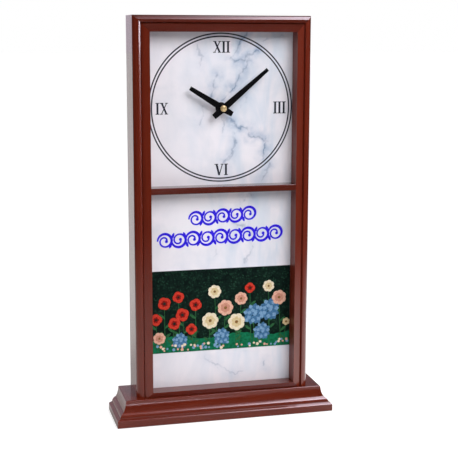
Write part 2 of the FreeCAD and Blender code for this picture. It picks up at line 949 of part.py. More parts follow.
def centre_wheel():
    """The wheel that the train turns once an hour, held on the minute shaft by friction."""
    body = movement_body("centre_wheel")
    low = named.centre_layer
    toothed(body, "centre_gear", named.centre_teeth, named.train_module, low, layer_end(low),
            ZERO, WHEEL_SHARES)
    bore(body, "centre_bore", named.clutch_radius + named.fit_play, low - named.overrun,
         layer_end(low) + named.overrun)
    return body


def train_wheel(name, spot, gear, pinion):
    """An arbor with one wheel and one pinion, each given as teeth, module, layer and phase."""
    body = movement_body(name, *spot)
    pivots(body, name)
    teeth, module, layer, phase = gear
    toothed(body, f"{name}_gear", teeth, module, layer, layer_end(layer), phase, WHEEL_SHARES)
    teeth, module, layer, phase = pinion
    over = named.pinion_overlap
    toothed(body, f"{name}_leaves", teeth, module, layer - over, layer_end(layer) + over, phase,
            PINION_SHARES)
    return body


def third_wheel():
    phase = mesh_phase(named.third_turn, ZERO, named.centre_teeth, named.third_pinion_teeth)
    return train_wheel("third_wheel", third_place,
                       (named.third_teeth, named.third_module, named.third_layer, ZERO),
                       (named.third_pinion_teeth, named.train_module, named.centre_layer, phase))


def seconds_wheel():
    phase = mesh_phase(named.seconds_turn, ZERO, named.third_teeth, named.seconds_pinion_teeth)
    return train_wheel("seconds_wheel", seconds_place,
                       (named.seconds_teeth, named.train_module, named.seconds_layer, ZERO),
                       (named.seconds_pinion_teeth, named.third_module, named.third_layer, phase))


def step_wheel():
    phase = mesh_phase(named.step_turn, ZERO, named.seconds_teeth, named.step_pinion_teeth)
    return train_wheel("step_wheel", step_place,
                       (named.step_teeth, named.train_module, named.step_layer, ZERO),
                       (named.step_pinion_teeth, named.train_module, named.seconds_layer, phase))


def rotor_pinion():
    """The motor's arbor with its pinion."""
    body = movement_body("rotor_pinion", *rotor_place)
    pivots(body, "rotor")
    phase = mesh_phase(named.rotor_turn, ZERO, named.step_teeth, named.rotor_teeth)
    over = named.pinion_overlap
    toothed(body, "rotor_leaves", named.rotor_teeth, named.train_module, named.step_layer - over,
            layer_end(named.step_layer) + over, phase, PINION_SHARES)
    return body


def magnet_low():
    return named.stator_layer + named.stator_thick / 2 - named.magnet_thick / 2


def rotor_magnet():
    body = movement_body("rotor_magnet", *rotor_place)
    disc(body, "magnet_disc", named.magnet_radius, magnet_low(), magnet_low() + named.magnet_thick)
    bore(body, "magnet_bore", named.pivot_radius, magnet_low() - named.overrun,
         magnet_low() + named.magnet_thick + named.overrun)
    return body


def stator():
    """The motor's iron plate: a block round the rotor and a leg to the far end of the coil."""
    body = movement_body("stator")
    low = named.stator_layer
    high = low + named.stator_thick
    around = named.magnet_radius + named.magnet_gap
    block_left = rotor_place[0] - around - named.core_reach
    block_low = rotor_place[1] - around - named.stator_rim
    leg_left = named.coil_left - named.core_reach
    core_high = named.coil_up + named.core_wide / 2
    plate(body, "stator_block", block_left, block_low, rotor_place[0] + around + named.stator_rim,
          rotor_place[1] + around + named.stator_rim, low, high)
    plate(body, "stator_leg", leg_left, block_low, rotor_place[0], block_low + named.stator_leg,
          low, high)
    plate(body, "stator_end", leg_left, block_low, leg_left + named.stator_leg, core_high, low, high)
    bore(body, "stator_eye", around, low - named.overrun, high + named.overrun, *rotor_place)
    return body


def coil_core():
    """The iron bar through the coil, lying on both ends of the stator."""
    body = movement_body("coil_core")
    low = named.stator_layer + named.stator_thick
    around = named.magnet_radius + named.magnet_gap
    plate(body, "core_bar", named.coil_left - named.core_reach, named.coil_up - named.core_wide / 2,
          rotor_place[0] - around, named.coil_up + named.core_wide / 2, low,
          low + named.stator_thick)
    return body


def coil_axis_height():
    return named.stator_layer + named.stator_thick * 3 / 2


def coil_rod(name, start, length, radius):
    """A round bar along the coil's axis."""
    return rod(name, "x", (start, movement_back - coil_axis_height(), dial_height + named.coil_up),
               length, radius)


def core_hole(name):
    low = movement_back - named.stator_layer - named.stator_thick * 2
    return block(name, (named.coil_left - named.overrun, low,
                        dial_height + named.coil_up - named.core_wide / 2),
                 (named.coil_right + named.overrun, low + named.stator_thick,
                  dial_height + named.coil_up + named.core_wide / 2))


def coil_bobbin():
    """The plastic spool of the coil."""
    length = named.coil_right - named.coil_left
    spool = coil_rod("bobbin_spool", named.coil_left, length, named.spool_radius)
    near = coil_rod("bobbin_near", named.coil_left, named.flange_thick, named.flange_radius)
    far = coil_rod("bobbin_far", named.coil_right - named.flange_thick, named.flange_thick,
                   named.flange_radius)
    whole = joined("bobbin_whole", [spool, near, far])
    return cut("coil_bobbin", whole, [core_hole("bobbin_slot")])


def coil_winding():
    """The fine copper winding between the bobbin's flanges."""
    start = named.coil_left + named.flange_thick
    length = named.coil_right - named.coil_left - named.flange_thick * 2
    body = coil_rod("winding_body", start, length, named.winding_radius)
    hollow = coil_rod("winding_hollow", start, length, named.spool_radius)
    return cut("coil_winding", body, [hollow])


def train_places():
    return (("third", third_place), ("seconds", seconds_place), ("step", step_place),
            ("rotor", rotor_place))


def circuit_posts():
    middle = (named.circuit_left + named.circuit_right) / 2
    inset = named.post_radius * 2
    return ((middle, named.circuit_low + inset), (middle, named.circuit_high - inset))


def core_posts():
    left = named.coil_left - named.core_reach + named.stator_leg / 2
    right = rotor_place[0] - named.magnet_radius - named.magnet_gap - named.core_reach / 2
    return ((left, named.coil_up), (right, named.coil_up))


def cover_posts():
    side = cavity_half - named.cover_post_radius
    return ((-side, side), (side, side), (side, cavity_low + named.cover_post_radius))


def post(body, name, radius, low, high, across, up):
    sketch = new_sketch(body, name, "XY_Plane", low)
    ring(sketch, radius, across, up)
    return pad(body, sketch, high - low)


def movement_case():
    """The movement's housing: a front wall, side walls, a rib beside the battery bay, posts."""
    body = movement_body("movement_case")
    half = named.movement_wide / 2
    whole = plate(body, "case_block", -half, -half, half, half, ZERO, front_face)
    document.recompute()
    edges = []
    for index, edge in enumerate(whole.Shape.Edges, 1):
        direction = edge.Vertexes[1].Point - edge.Vertexes[0].Point
        if abs(direction.z) > edge.Length / 2:
            edges.append(f"Edge{index}")
    rounding = body.newObject("PartDesign::Fillet", "case_rounding")
    rounding.Base = (whole, edges)
    bind(rounding, "Radius", named.movement_round)
    document.recompute()
    recess(body, "gear_room", -cavity_half, cavity_low, cavity_half, cavity_half, -named.overrun,
           inner_front)
    recess(body, "battery_bay", -cavity_half, bay_low, cavity_half, bay_high, -named.overrun,
           front_face - named.bay_floor)
    post(body, "motion_post", named.motion_post_radius, named.motion_layer, inner_front, *motion_place)
    for index, spot in enumerate(circuit_posts(), 1):
        post(body, f"circuit_post_{index}", named.post_radius,
             named.circuit_layer + named.circuit_thick, inner_front, *spot)
    for index, spot in enumerate(core_posts(), 1):
        post(body, f"core_post_{index}", named.post_radius,
             named.stator_layer + named.stator_thick * 2, inner_front, *spot)
    for index, spot in enumerate(cover_posts(), 1):
        post(body, f"cover_post_{index}", named.cover_post_radius, named.cover_thick, inner_front, *spot)
    for tag, spot in train_places() + (("setting", setting_place),):
        bore(body, f"case_bearing_{tag}", named.pivot_radius + named.fit_play, inner_front - named.overrun,
             inner_front + named.pivot_deep, *spot)
    bore(body, "bush_seat", named.bush_radius, inner_front - named.overrun, front_face + named.overrun)
    return body


def movement_cover():
    """The plate that closes the gear room from behind, with the rear bearings."""
    body = movement_body("movement_cover")
    play = named.cover_play
    plate(body, "cover_plate", -cavity_half + play, cavity_low + play, cavity_half - play,
          cavity_half - play, ZERO, named.cover_thick)
    floor = named.cover_thick - named.pivot_deep
    for tag, spot in train_places() + (("minute", CENTRE),):
        bore(body, f"cover_bearing_{tag}", named.pivot_radius + named.fit_play, floor,
             named.cover_thick + named.overrun, *spot)
    bore(body, "knob_hole", named.knob_shaft_radius + named.fit_play, -named.overrun,
         named.cover_thick + named.overrun, *setting_place)
    return body


def shaft_bush():
    """The threaded brass bush that clamps the movement to the panel."""
    body = movement_body("shaft_bush")
    end = panel_face + named.bush_long
    disc(body, "bush_tube", named.bush_radius, inner_front, end)
    bore(body, "bush_bore", named.hour_tube_radius + named.fit_play, inner_front - named.overrun,
         end + named.overrun)
    return body


def rubber_gasket():
    body = movement_body("rubber_gasket")
    high = front_face + named.gasket_thick
    disc(body, "gasket_disc", named.gasket_radius, front_face, high)
    bore(body, "gasket_hole", named.bush_radius + named.bush_play, front_face - named.overrun,
         high + named.overrun)
    return body


def bush_washer():
    body = movement_body("bush_washer")
    high = panel_face + named.washer_thick
    disc(body, "washer_disc", named.washer_radius, panel_face, high)
    bore(body, "washer_hole", named.bush_radius + named.bush_play, panel_face - named.overrun,
         high + named.overrun)
    return body


def bush_nut():
    """The hexagon nut on the bush, in front of the panel."""
    body = movement_body("bush_nut")
    low = panel_face + named.washer_thick
    sketch = new_sketch(body, "nut_hexagon", "XY_Plane", low)
    corner = named.nut_across / 2 / as_size(30).cosine()
    outline(sketch, [(corner * as_size(turn).cosine(), corner * as_size(turn).sine())
                     for turn in range(0, 360, 60)])
    pad(body, sketch, named.nut_thick)
    bore(body, "nut_thread", named.bush_radius, low - named.overrun, low + named.nut_thick + named.overrun)
    return body


def circuit_board():
    body = movement_body("circuit_board")
    low = named.circuit_layer
    plate(body, "circuit_plate", named.circuit_left, named.circuit_low, named.circuit_right,
          named.circuit_high, low, low + named.circuit_thick)
    return body


def quartz_crystal():
    """The small metal can of the crystal, lying on the circuit board."""
    across = (named.circuit_left + named.circuit_right) / 2
    start = dial_height + named.circuit_high - named.crystal_long - named.post_radius * 4
    depth = movement_back - named.circuit_layer + named.crystal_radius
    return rod("quartz_crystal", "z", (across, depth, start), named.crystal_long, named.crystal_radius)


def control_chip():
    body = movement_body("control_chip")
    across = (named.circuit_left + named.circuit_right) / 2
    up = named.circuit_low + named.post_radius * 4
    half = named.chip_wide / 2
    plate(body, "chip_block", across - half, up, across + half, up + named.chip_wide,
          named.circuit_layer - named.chip_tall, named.circuit_layer)
    return body


# Battery.

bay_middle = (bay_low + bay_high) / 2
battery_height = front_face - named.bay_floor - named.battery_radius - named.panel_play
plus_face = cavity_half - named.contact_thick


def battery_rod(name, start, length, radius):
    return rod(name, "x", (start, movement_back - battery_height, dial_height + bay_middle),
               length, radius)


def battery():
    """A round cell with its raised plus end to the right."""
    nub_end = plus_face - named.contact_play
    shoulder = nub_end - named.battery_nub_long
    can = battery_rod("battery_can", shoulder - named.battery_long, named.battery_long,
                      named.battery_radius)
    nub = battery_rod("battery_nub", shoulder, named.battery_nub_long, named.battery_nub_radius)
    return joined("battery", [can, nub])


def battery_foot():
    return plus_face - named.contact_play - named.battery_nub_long - named.battery_long


def plus_contact():
    """The flat spring-steel contact at the battery's plus end."""
    body = movement_body("plus_contact")
    half = named.contact_wide / 2
    plate(body, "plus_plate", plus_face, bay_middle - half, cavity_half, bay_middle + half,
          battery_height - half, battery_height + half)
    return body


def minus_contact():
    """The bowed contact that presses on the battery's flat end."""
    body = movement_body("minus_contact")
    half = named.contact_wide / 2
    sketch = new_sketch(body, "minus_outline", "XY_Plane", battery_height - half)
    wall = -cavity_half
    thick = named.contact_thick
    crest = battery_foot() - named.contact_play
    outline(sketch, [
        (wall, bay_middle - half),
        (wall + thick, bay_middle - half),
        (crest, bay_middle),
        (wall + thick, bay_middle + half),
        (wall, bay_middle + half),
        (wall, bay_middle + half - thick),
        (crest - thick, bay_middle),
        (wall, bay_middle - half + thick),
    ])
    pad(body, sketch, named.contact_wide)
    return body


# Hands.

def hand(name, plane_height, angle, reach, tail, root_wide, tip_wide, tail_wide, hole):
    """A tapered hand with a tail, a round hub and a collet behind it."""
    body = movement_body(name)
    high = plane_height + named.hand_thick
    collet_low = plane_height - named.collet_thick
    disc(body, f"{name}_collet", hole + named.collet_wall, collet_low, high)
    disc(body, f"{name}_hub", named.hand_hub_radius, plane_height, high)
    sketch = new_sketch(body, f"{name}_blade", "XY_Plane", plane_height)
    bind(sketch, "AttachmentOffset.Rotation.Angle", 360 - angle)
    outline(sketch, [
        (tail_wide / 2, -tail),
        (root_wide / 2, ZERO),
        (tip_wide / 2, reach),
        (-tip_wide / 2, reach),
        (-root_wide / 2, ZERO),
        (-tail_wide / 2, -tail),
    ])
    pad(body, sketch, named.hand_thick)
    bore(body, f"{name}_hole", hole, collet_low - named.overrun, high + named.overrun)
    return body


def hour_hand():
    return hand("hour_hand", hour_plane(), named.hour_angle, named.hour_reach, named.hour_tail,
                named.hour_root_wide, named.hour_tip_wide, named.hour_tail_wide,
                named.hour_tube_radius)


def minute_hand():
    return hand("minute_hand", minute_plane(), named.minute_angle, named.minute_reach,
                named.minute_tail, named.minute_root_wide, named.minute_tip_wide,
                named.minute_tail_wide, named.arbor_radius)


def hand_nut():
    """The domed brass cap nut on the minute shaft's tip."""
    body = movement_body("hand_nut")
    base = minute_plane() + named.hand_thick
    rise = named.hand_nut_tall - named.hand_nut_skirt
    dome = (named.hand_nut_radius * named.hand_nut_radius + rise * rise) / (rise * 2)
    sketch = new_sketch(body, "hand_nut_section", "XZ_Plane", ZERO)
    outline(sketch, [
        (named.thread_radius, base),
        (named.hand_nut_radius, base),
        (named.hand_nut_radius, base + named.hand_nut_skirt, dome, 1),
        (ZERO, base + named.hand_nut_tall),
        (ZERO, base + named.hand_nut_bore),
        (named.thread_radius, base + named.hand_nut_bore),
    ])
    feature = body.newObject("PartDesign::Revolution", "hand_nut_turned")
    feature.Profile = sketch
    feature.ReferenceAxis = (sketch, ["V_Axis"])
    feature.Angle = 360
    return body


def build():
    """Makes every sub-part and returns them all."""
    screws = base_screws()
    brads = batten_brads()
    return [
        base_front_moulding(),
        base_side_moulding("base_left_moulding", -1),
        base_side_moulding("base_right_moulding", 1),
        base_core(),
        base_felt(),
        screws,
        stile("left_stile", -1),
        stile("right_stile", 1),
        top_rail(),
        bottom_rail(),
        mid_rail(),
        side_board("left_side_board", -1, brads),
        side_board("right_side_board", 1, brads),
        top_board(brads),
        bottom_board(screws),
        side_batten("left_batten", -1, brads),
        side_batten("right_batten", 1, brads),
        top_batten(brads),
        brads,
        display_panel(),
        movement_case(),
        movement_cover(),
        shaft_bush(),
        rubber_gasket(),
        bush_washer(),
        bush_nut(),
        hour_wheel(),
        minute_arbor(),
        motion_wheel(),
        set_knob(),
        centre_wheel(),
        third_wheel(),
        seconds_wheel(),
        step_wheel(),
        rotor_pinion(),
        rotor_magnet(),
        stator(),
        coil_core(),
        coil_bobbin(),
        coil_winding(),
        circuit_board(),
        quartz_crystal(),
        control_chip(),
        plus_contact(),
        minus_contact(),
        battery(),
        hour_hand(),
        minute_hand(),
        hand_nut(),
    ]


subparts = build()
document.recompute()
for thing in document.Objects:
    if "Invalid" in thing.State or "Error" in thing.State:
        raise RuntimeError(f"{thing.Name} did not compute: {thing.State}")
for subpart in subparts:
    if subpart.Shape.isNull() or not subpart.Shape.isValid():
        raise RuntimeError(f"{subpart.Label} has no valid shape")

os.makedirs("parts", exist_ok=True)
for subpart in subparts:
    subpart.Shape.exportStep(f"parts/{subpart.Label}.step")
    solids = len(subpart.Shape.Solids)
    print(f"{subpart.Label}: {solids} solid(s), {subpart.Shape.Volume:.1f} mm3")
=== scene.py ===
import math
import random

import bpy
from mathutils import Matrix, Vector


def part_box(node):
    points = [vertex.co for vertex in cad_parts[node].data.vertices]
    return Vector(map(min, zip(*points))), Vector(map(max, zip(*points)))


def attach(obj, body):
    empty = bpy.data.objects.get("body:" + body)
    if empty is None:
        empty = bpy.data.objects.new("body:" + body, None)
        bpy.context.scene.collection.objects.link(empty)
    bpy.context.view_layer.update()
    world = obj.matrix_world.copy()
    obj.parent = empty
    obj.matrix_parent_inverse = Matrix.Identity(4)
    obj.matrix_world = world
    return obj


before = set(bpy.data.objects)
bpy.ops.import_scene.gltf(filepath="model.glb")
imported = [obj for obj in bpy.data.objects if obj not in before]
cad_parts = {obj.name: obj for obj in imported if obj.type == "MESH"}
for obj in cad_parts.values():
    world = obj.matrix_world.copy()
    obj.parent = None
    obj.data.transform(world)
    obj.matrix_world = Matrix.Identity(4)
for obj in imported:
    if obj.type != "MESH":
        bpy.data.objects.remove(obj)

# A tall wooden display clock with a marble-print panel, in a plain bright studio.
# Metres; the dial faces -Y, up is +Z and the origin is the centre of the underside.

MM = 0.001
random.seed(41)

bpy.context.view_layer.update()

# Camera: its turn round the clock, its height angle and roll, and what it looks at.
CAMERA_TURN = math.radians(14.448)
CAMERA_RISE = math.radians(9.8525)
CAMERA_ROLL = 0.0022
CAMERA_DISTANCE = 1.12265
CAMERA_TARGET = Vector((0.004436, -0.0176, 0.19977))
CAMERA_LENS = 86.0
SENSOR_WIDE = 36.0

# Soft lamps as name, place, aim, edge length and power. Polished faces don't mirror them.
LAMPS = (
    ("key_light", (0.45, -1.2, 1.2), (0, 0, 0.25), 1.0, 21.0),
    ("fill_light", (-1.5, -0.45, 0.45), (0, 0, 0.2), 1.0, 5.5),
    ("side_light", (1.3, -0.5, 0.35), (0, 0, 0.1), 0.6, 5.0),
)

# World light. A pair of numbers is the stretch of a direction's X, Y or Z over which a light fades.
# Dull surfaces meet a wrap of light that is brightest behind the clock.
WRAP_FRONT = 0.20
WRAP_BACK = 1.0
WRAP_Y = (-0.6, 0.5)
# Polished faces meet a dark front with one softbox, a bright back wall, and an overhead panel that
# grows brighter to the right, all with a faint tint.
SHEEN_TINT = (1.0, 0.92, 1.06)
FRONT_SHEEN = 0.01
BACK_SHEEN = 0.78
BACK_WALL_Y = (0.88, 0.97)
CEILING_SHEEN = 0.55
CEILING_EXTRA = 30.0
CEILING_EXTRA_X = (0.15, 0.32)
CEILING_Z = (0.775, 0.84)
CEILING_DIM_Y = (-0.45, -0.22)
CEILING_DIM_SHARE = 0.35
CEILING_END_Y = (0.30, 0.60)
SOFTBOX_SHEEN = 30.0
SOFTBOX_Y = (-0.85, -0.75)
SOFTBOX_LOW_Z = (-0.16, 0.01)
SOFTBOX_HIGH_Z = (0.02, 0.04)
SOFTBOX_LEFT_X = (-0.34, -0.18)
SOFTBOX_RIGHT_X = (0.10, 0.26)

# Floor. A place on it is given by its distance from the clock, in metres, and by the X and Y of its
# direction from there. It is pale near the clock and in a sector behind it, and black elsewhere. Its
# glow makes it white for the camera, and is weaker where the pale part is lit as well.
FLOOR_SIZE = 60
FLOOR_DROP = 0.0002
FLOOR_ALBEDO = 0.68
FLOOR_GRAIN = 0.01
FLOOR_EDGE = (0.35, 1.1)
FLOOR_GLOW = 0.60
BEHIND_Y = (0.85, 0.95)
FRONT_Y = (-0.3, -0.1)
# Polished faces mirror three glowing patches of the floor, and a stretch in front that is darker.
BACK_PATCH = 0.35
FRONT_PATCH = 0.35
FRONT_PATCH_LEFT_X = (-0.30, -0.10)
FRONT_PATCH_RIGHT_X = (0.36, 0.48)
FRONT_PATCH_NEAR = (1.8, 2.6)
FRONT_PATCH_FAR = (40, 50)
RIGHT_PATCH = 1.15
RIGHT_PATCH_X = (0.60, 0.75)
RIGHT_PATCH_NEAR = (0.1, 0.2)
RIGHT_PATCH_FAR = (0.5, 0.9)
DARK_SHARE = 0.4
DARK_NEAR = (0.36, 0.46)
DARK_X = (-0.25, -0.10)

# The panel and the print on it, in metres.
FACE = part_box("display_panel")[0].y
WINDOW_HALF = -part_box("left_stile")[1].x
hub_low, hub_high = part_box("hand_nut")
DIAL_HEIGHT = (hub_low.z + hub_high.z) / 2
INNER_RING = 72.05 * MM
OUTER_RING = 75.1 * MM
RING_WIDE = 1.45 * MM
# Each layer of print lies a step in front of the last, and so do the shapes of one layer in turn.
PRINT_STEP = 0.06 * MM
FACE_STEP = 0.004 * MM
FACE_STEPS = 12


class Graph:
    """A node tree with short ways to add nodes."""

    def __init__(self, tree):
        self.nodes = tree.nodes
        self.links = tree.links

    def feed(self, socket, value):
        """Sets a socket to a plain value or to another node's output."""
        if isinstance(value, bpy.types.NodeSocket):
            self.links.new(value, socket)
        elif isinstance(value, tuple) and len(value) == 3 and socket.type == "RGBA":
            socket.default_value = (*value, 1.0)
        else:
            socket.default_value = value

    def node(self, kind, inputs=(), **settings):
        """A new node with its settings made and its inputs fed."""
        made = self.nodes.new(kind)
        for key, value in settings.items():
            setattr(made, key, value)
        for key, value in dict(inputs).items():
            self.feed(made.inputs[key], value)
        return made

    def calc(self, operation, *values, clamp=False):
        """The result of one sum."""
        made = self.node("ShaderNodeMath", operation=operation, use_clamp=clamp)
        for index, value in enumerate(values):
            self.feed(made.inputs[index], value)
        return made.outputs[0]

    def chain(self, operation, values):
        """One operation carried through a row of values."""
        whole, *others = values
        for value in others:
            whole = self.calc(operation, whole, value)
        return whole

    def product(self, *values):
        """All the values multiplied."""
        return self.chain("MULTIPLY", values)

    def vector(self, operation, *values):
        """A node that works on vectors."""
        made = self.node("ShaderNodeVectorMath", operation=operation)
        for index, value in enumerate(values):
            self.feed(made.inputs[index], value)
        return made

    def between(self, value, low, high, start=0.0, end=1.0):
        """Goes from start to end while the value goes from low to high, and stays there."""
        made = self.node("ShaderNodeMapRange", {"Value": value, "From Min": low, "From Max": high,
                                                "To Min": start, "To Max": end}, clamp=True)
        return made.outputs[0]

    def rises(self, value, span):
        """0 where the value is below the span, and 1 above it."""
        return self.between(value, *span)

    def falls(self, value, span):
        """1 where the value is below the span, and 0 above it."""
        return self.between(value, *span, 1.0, 0.0)

    def split(self, value):
        """The X, Y and Z of a vector."""
        return self.node("ShaderNodeSeparateXYZ", {0: value}).outputs

    def mix(self, share, first, second, blend="MIX"):
        """A share of the second colour over the first."""
        made = self.node("ShaderNodeMix", {0: share, 6: first, 7: second}, data_type="RGBA",
                         blend_type=blend)
        return made.outputs[2]


class Paint(Graph):
    """A material, built node by node from the object's own coordinates."""

    def __init__(self, name, **sockets):
        self.material = bpy.data.materials.new(name)
        self.material.use_nodes = True
        super().__init__(self.material.node_tree)
        self.shader = self.nodes["Principled BSDF"]
        self.here = self.nodes.new("ShaderNodeTexCoord").outputs["Object"]
        for socket, value in sockets.items():
            self.put(socket.replace("_", " "), value)

    def put(self, socket, value):
        """Sets or feeds one of the shader's own sockets."""
        self.feed(self.shader.inputs[socket], value)

    def stretched(self, scale, shift=(0, 0, 0)):
        """The object's coordinates, scaled along each axis and shifted."""
        made = self.node("ShaderNodeMapping", {"Vector": self.here, "Scale": scale, "Location": shift})
        return made.outputs[0]

    def noise(self, where, detail, rough=0.5, bend=0.0):
        """Soft noise from 0 to 1, mostly near 0.5."""
        made = self.node("ShaderNodeTexNoise", {"Vector": where, "Scale": 1.0, "Detail": detail,
                                                "Roughness": rough, "Distortion": bend})
        return made.outputs[0]

    def ramp(self, value, stops):
        """A colour ramp with a colour at each stop."""
        made = self.node("ShaderNodeValToRGB", {"Fac": value})
        points = made.color_ramp.elements
        while len(points) < len(stops):
            points.new(0.5)
        for point, (spot, colour) in zip(points, stops):
            point.position = spot
            point.color = (*colour, 1.0)
        return made.outputs[0]

    def bump(self, height, depth, strength=1.0):
        """Surface relief of a depth in metres."""
        made = self.node("ShaderNodeBump", {"Height": height, "Distance": depth, "Strength": strength})
        self.put("Normal", made.outputs[0])


# Stain tones from the darkest grain to the lightest, and where the grain's noise meets each.
STAIN = ((0.100, 0.0115, 0.0046), (0.128, 0.0155, 0.0062), (0.150, 0.0205, 0.0082))
STAIN_STOPS = (0.30, 0.52, 0.74)
# Noise scales along the grain and across it.
GRAIN_SCALE = (9, 260)
PORE_SCALE = (60, 2600)
RAW_SCALE = (8, 220)
FIBRE_FINER = 8
LACQUER_COAT = 0.5
LACQUER_ROUGH = 0.17
PORE_ROUGH = 0.29
# Faces that look into a window from its sides or its top keep a share of the coat, and are duller.
REVEAL_FACING = (0.85, 0.95)
REVEAL_GLOSS = 0.2
REVEAL_DULL = 0.2


def drawn_out(along, long, short):
    """Noise scales for grain that runs along x, y or z."""
    return tuple(long if axis == along else short for axis in "xyz")


def stained_wood(name, along, seed, shade):
    """Stained and lacquered wood with its grain along x, y or z."""
    paint = Paint(name, Coat_Roughness=0.07, Specular_IOR_Level=0.3)
    shift = (seed * 1.7, seed * 2.3, seed * 3.1)
    bands = paint.noise(paint.stretched(drawn_out(along, *GRAIN_SCALE), shift), 4.0, 0.55, 0.6)
    pores = paint.noise(paint.stretched(drawn_out(along, *PORE_SCALE), shift), 2.0, 0.6)
    patches = paint.noise(paint.stretched((18, 18, 18), shift), 2.0, 0.5)
    grain = paint.calc("ADD", paint.product(bands, 0.65), paint.product(patches, 0.35))
    tones = [tuple(level * shade for level in tone) for tone in STAIN]
    colour = paint.ramp(grain, list(zip(STAIN_STOPS, tones)))
    pore_mask = paint.between(pores, 0.36, 0.46, 0.82, 1.0)
    paint.put("Base Color", paint.mix(1.0, colour, pore_mask, "MULTIPLY"))
    facing = paint.split(paint.node("ShaderNodeNewGeometry").outputs["Normal"])
    side = paint.calc("SIGN", paint.split(paint.here)["X"])
    inward = paint.calc("MAXIMUM", paint.product(facing["X"], -1.0, side),
                        paint.product(facing["Z"], -1.0))
    reveal = paint.rises(inward, REVEAL_FACING)
    paint.put("Coat Weight", paint.between(reveal, 0.0, 1.0, LACQUER_COAT, LACQUER_COAT * REVEAL_GLOSS))
    paint.put("Roughness", paint.calc("MULTIPLY_ADD", reveal, REVEAL_DULL,
                                      paint.between(pores, 0.3, 0.6, PORE_ROUGH, LACQUER_ROUGH)))
    paint.bump(paint.calc("ADD", pores, paint.product(bands, 0.3)), 0.00003, 0.35)
    return paint.material


def raw_wood(name, along, seed):
    """Pale unfinished wood with fine fibres."""
    paint = Paint(name, Specular_IOR_Level=0.25)
    scale = drawn_out(along, *RAW_SCALE)
    shift = (seed * 1.3, seed * 2.9, seed * 0.7)
    bands = paint.noise(paint.stretched(scale, shift), 5.0, 0.6, 0.9)
    fibres = paint.noise(paint.stretched(tuple(s * FIBRE_FINER for s in scale), shift), 2.0)
    colour = paint.ramp(bands, [(0.3, (0.30, 0.17, 0.085)), (0.55, (0.50, 0.33, 0.19)),
                                (0.8, (0.62, 0.45, 0.29))])
    shade = paint.between(fibres, 0.3, 0.6, 0.8, 1.0)
    paint.put("Base Color", paint.mix(1.0, colour, shade, "MULTIPLY"))
    paint.put("Roughness", paint.between(fibres, 0.3, 0.7, 0.75, 0.6))
    paint.bump(fibres, 0.0001, 0.5)
    return paint.material


def segment_group():
    """A node group that gives the distance from a point to the line between two points."""
    group = bpy.data.node_groups.new("segment_distance", "ShaderNodeTree")
    for name in ("Point", "Start", "End"):
        group.interface.new_socket(name, in_out="INPUT", socket_type="NodeSocketVector")
    group.interface.new_socket("Distance", in_out="OUTPUT", socket_type="NodeSocketFloat")
    tree = Graph(group)
    entry = tree.node("NodeGroupInput").outputs
    reach = tree.vector("SUBTRACT", entry["Point"], entry["Start"]).outputs[0]
    line = tree.vector("SUBTRACT", entry["End"], entry["Start"]).outputs[0]
    across = tree.vector("DOT_PRODUCT", reach, line).outputs["Value"]
    whole = tree.vector("DOT_PRODUCT", line, line).outputs["Value"]
    share = tree.calc("DIVIDE", across, whole, clamp=True)
    nearest = tree.node("ShaderNodeVectorMath", {0: line, "Scale": share}, operation="SCALE").outputs[0]
    gap = tree.vector("SUBTRACT", reach, nearest).outputs[0]
    tree.node("NodeGroupOutput", {"Distance": tree.vector("LENGTH", gap).outputs["Value"]})
    return group


# The marble's veins as (strength, places) in millimetres across and up the panel.
VEINS = (
    (1.0, ((27, 398), (20, 387), (15.8, 379), (9.8, 372.3), (15.1, 368), (23.6, 370.9), (29.2, 375.6),
           (38.4, 380.3))),
    (1.0, ((29.2, 374.9), (27.1, 366.9), (20.8, 357.4), (15.2, 348.7), (9.6, 339.9), (3.2, 331.2))),
    (0.55, ((-23.9, 384.3), (-19.5, 373.7), (-21.2, 363.7))),
    (0.9, ((-3.4, 356.2), (-6.6, 346.8), (-9, 338.7), (-9.8, 332))),
    (0.7, ((26.3, 331.6), (22.4, 322.7))),
    (1.0, ((8.2, 312.7), (13.2, 307.1), (16.7, 302.3), (28.2, 301.7), (29.6, 293.1), (39, 292.2),
           (48.4, 287.8), (47.3, 277.4), (44.9, 269.1))),
    (0.6, ((1.1, 311.4), (3.3, 304.6), (0.9, 297.1))),
    (0.75, ((12.5, 297.5), (14.2, 285.1), (12.6, 276.9), (8.3, 271.4), (3.3, 266.7))),
    (0.45, ((-17.8, 325.3), (-19.9, 314.5), (-21.3, 306.4))),
    (0.7, ((53.7, 263.3), (41.5, 246.8))),
    (0.5, ((44.7, 390.4), (64.6, 395.9))),
    (0.8, ((31.3, 233.3), (22.4, 225.6))),
    (0.7, ((9, 209.2), (18, 199.2), (28.8, 199.6), (32.4, 191.5))),
    (0.5, ((-5.2, 174.7), (-6.9, 168.3))),
    (0.5, ((34.3, 177.3), (25.3, 160.9))),
    (0.45, ((-16.9, 59.2), (14.9, 39.4), (22.2, 42.6))),
    (0.6, ((48.9, 50.7), (48, 45.3))),
)
MARBLE_PALE = (0.84, 0.81, 0.87)
MARBLE_CLOUD = (0.73, 0.73, 0.80)
# Slanting smoke, faint at the left edge of the panel and full at the right.
SMOKE_TINT = (0.52, 0.63, 0.76)
SMOKE_TURN = math.radians(-32)
SMOKE_X = (-0.045, 0.03)
SMOKE_LEFT = 0.12
SMOKE_SHARE = 0.8
# Each vein is a fine core in a wide soft halo, bent by a noise that moves points this far.
VEIN_CORE = (0.14, 0.20, 0.32)
CORE_WIDE = (0.0002, 0.0015)
CORE_SHARE = 0.60
VEIN_HALO = (0.34, 0.43, 0.58)
HALO_WIDE = (0.0, 0.014)
HALO_SHARE = 0.95
BEND_REACH = 0.0032
BEND_SCALE = (110, 110, 110)
PRINT_INK = (0.012, 0.014, 0.028)


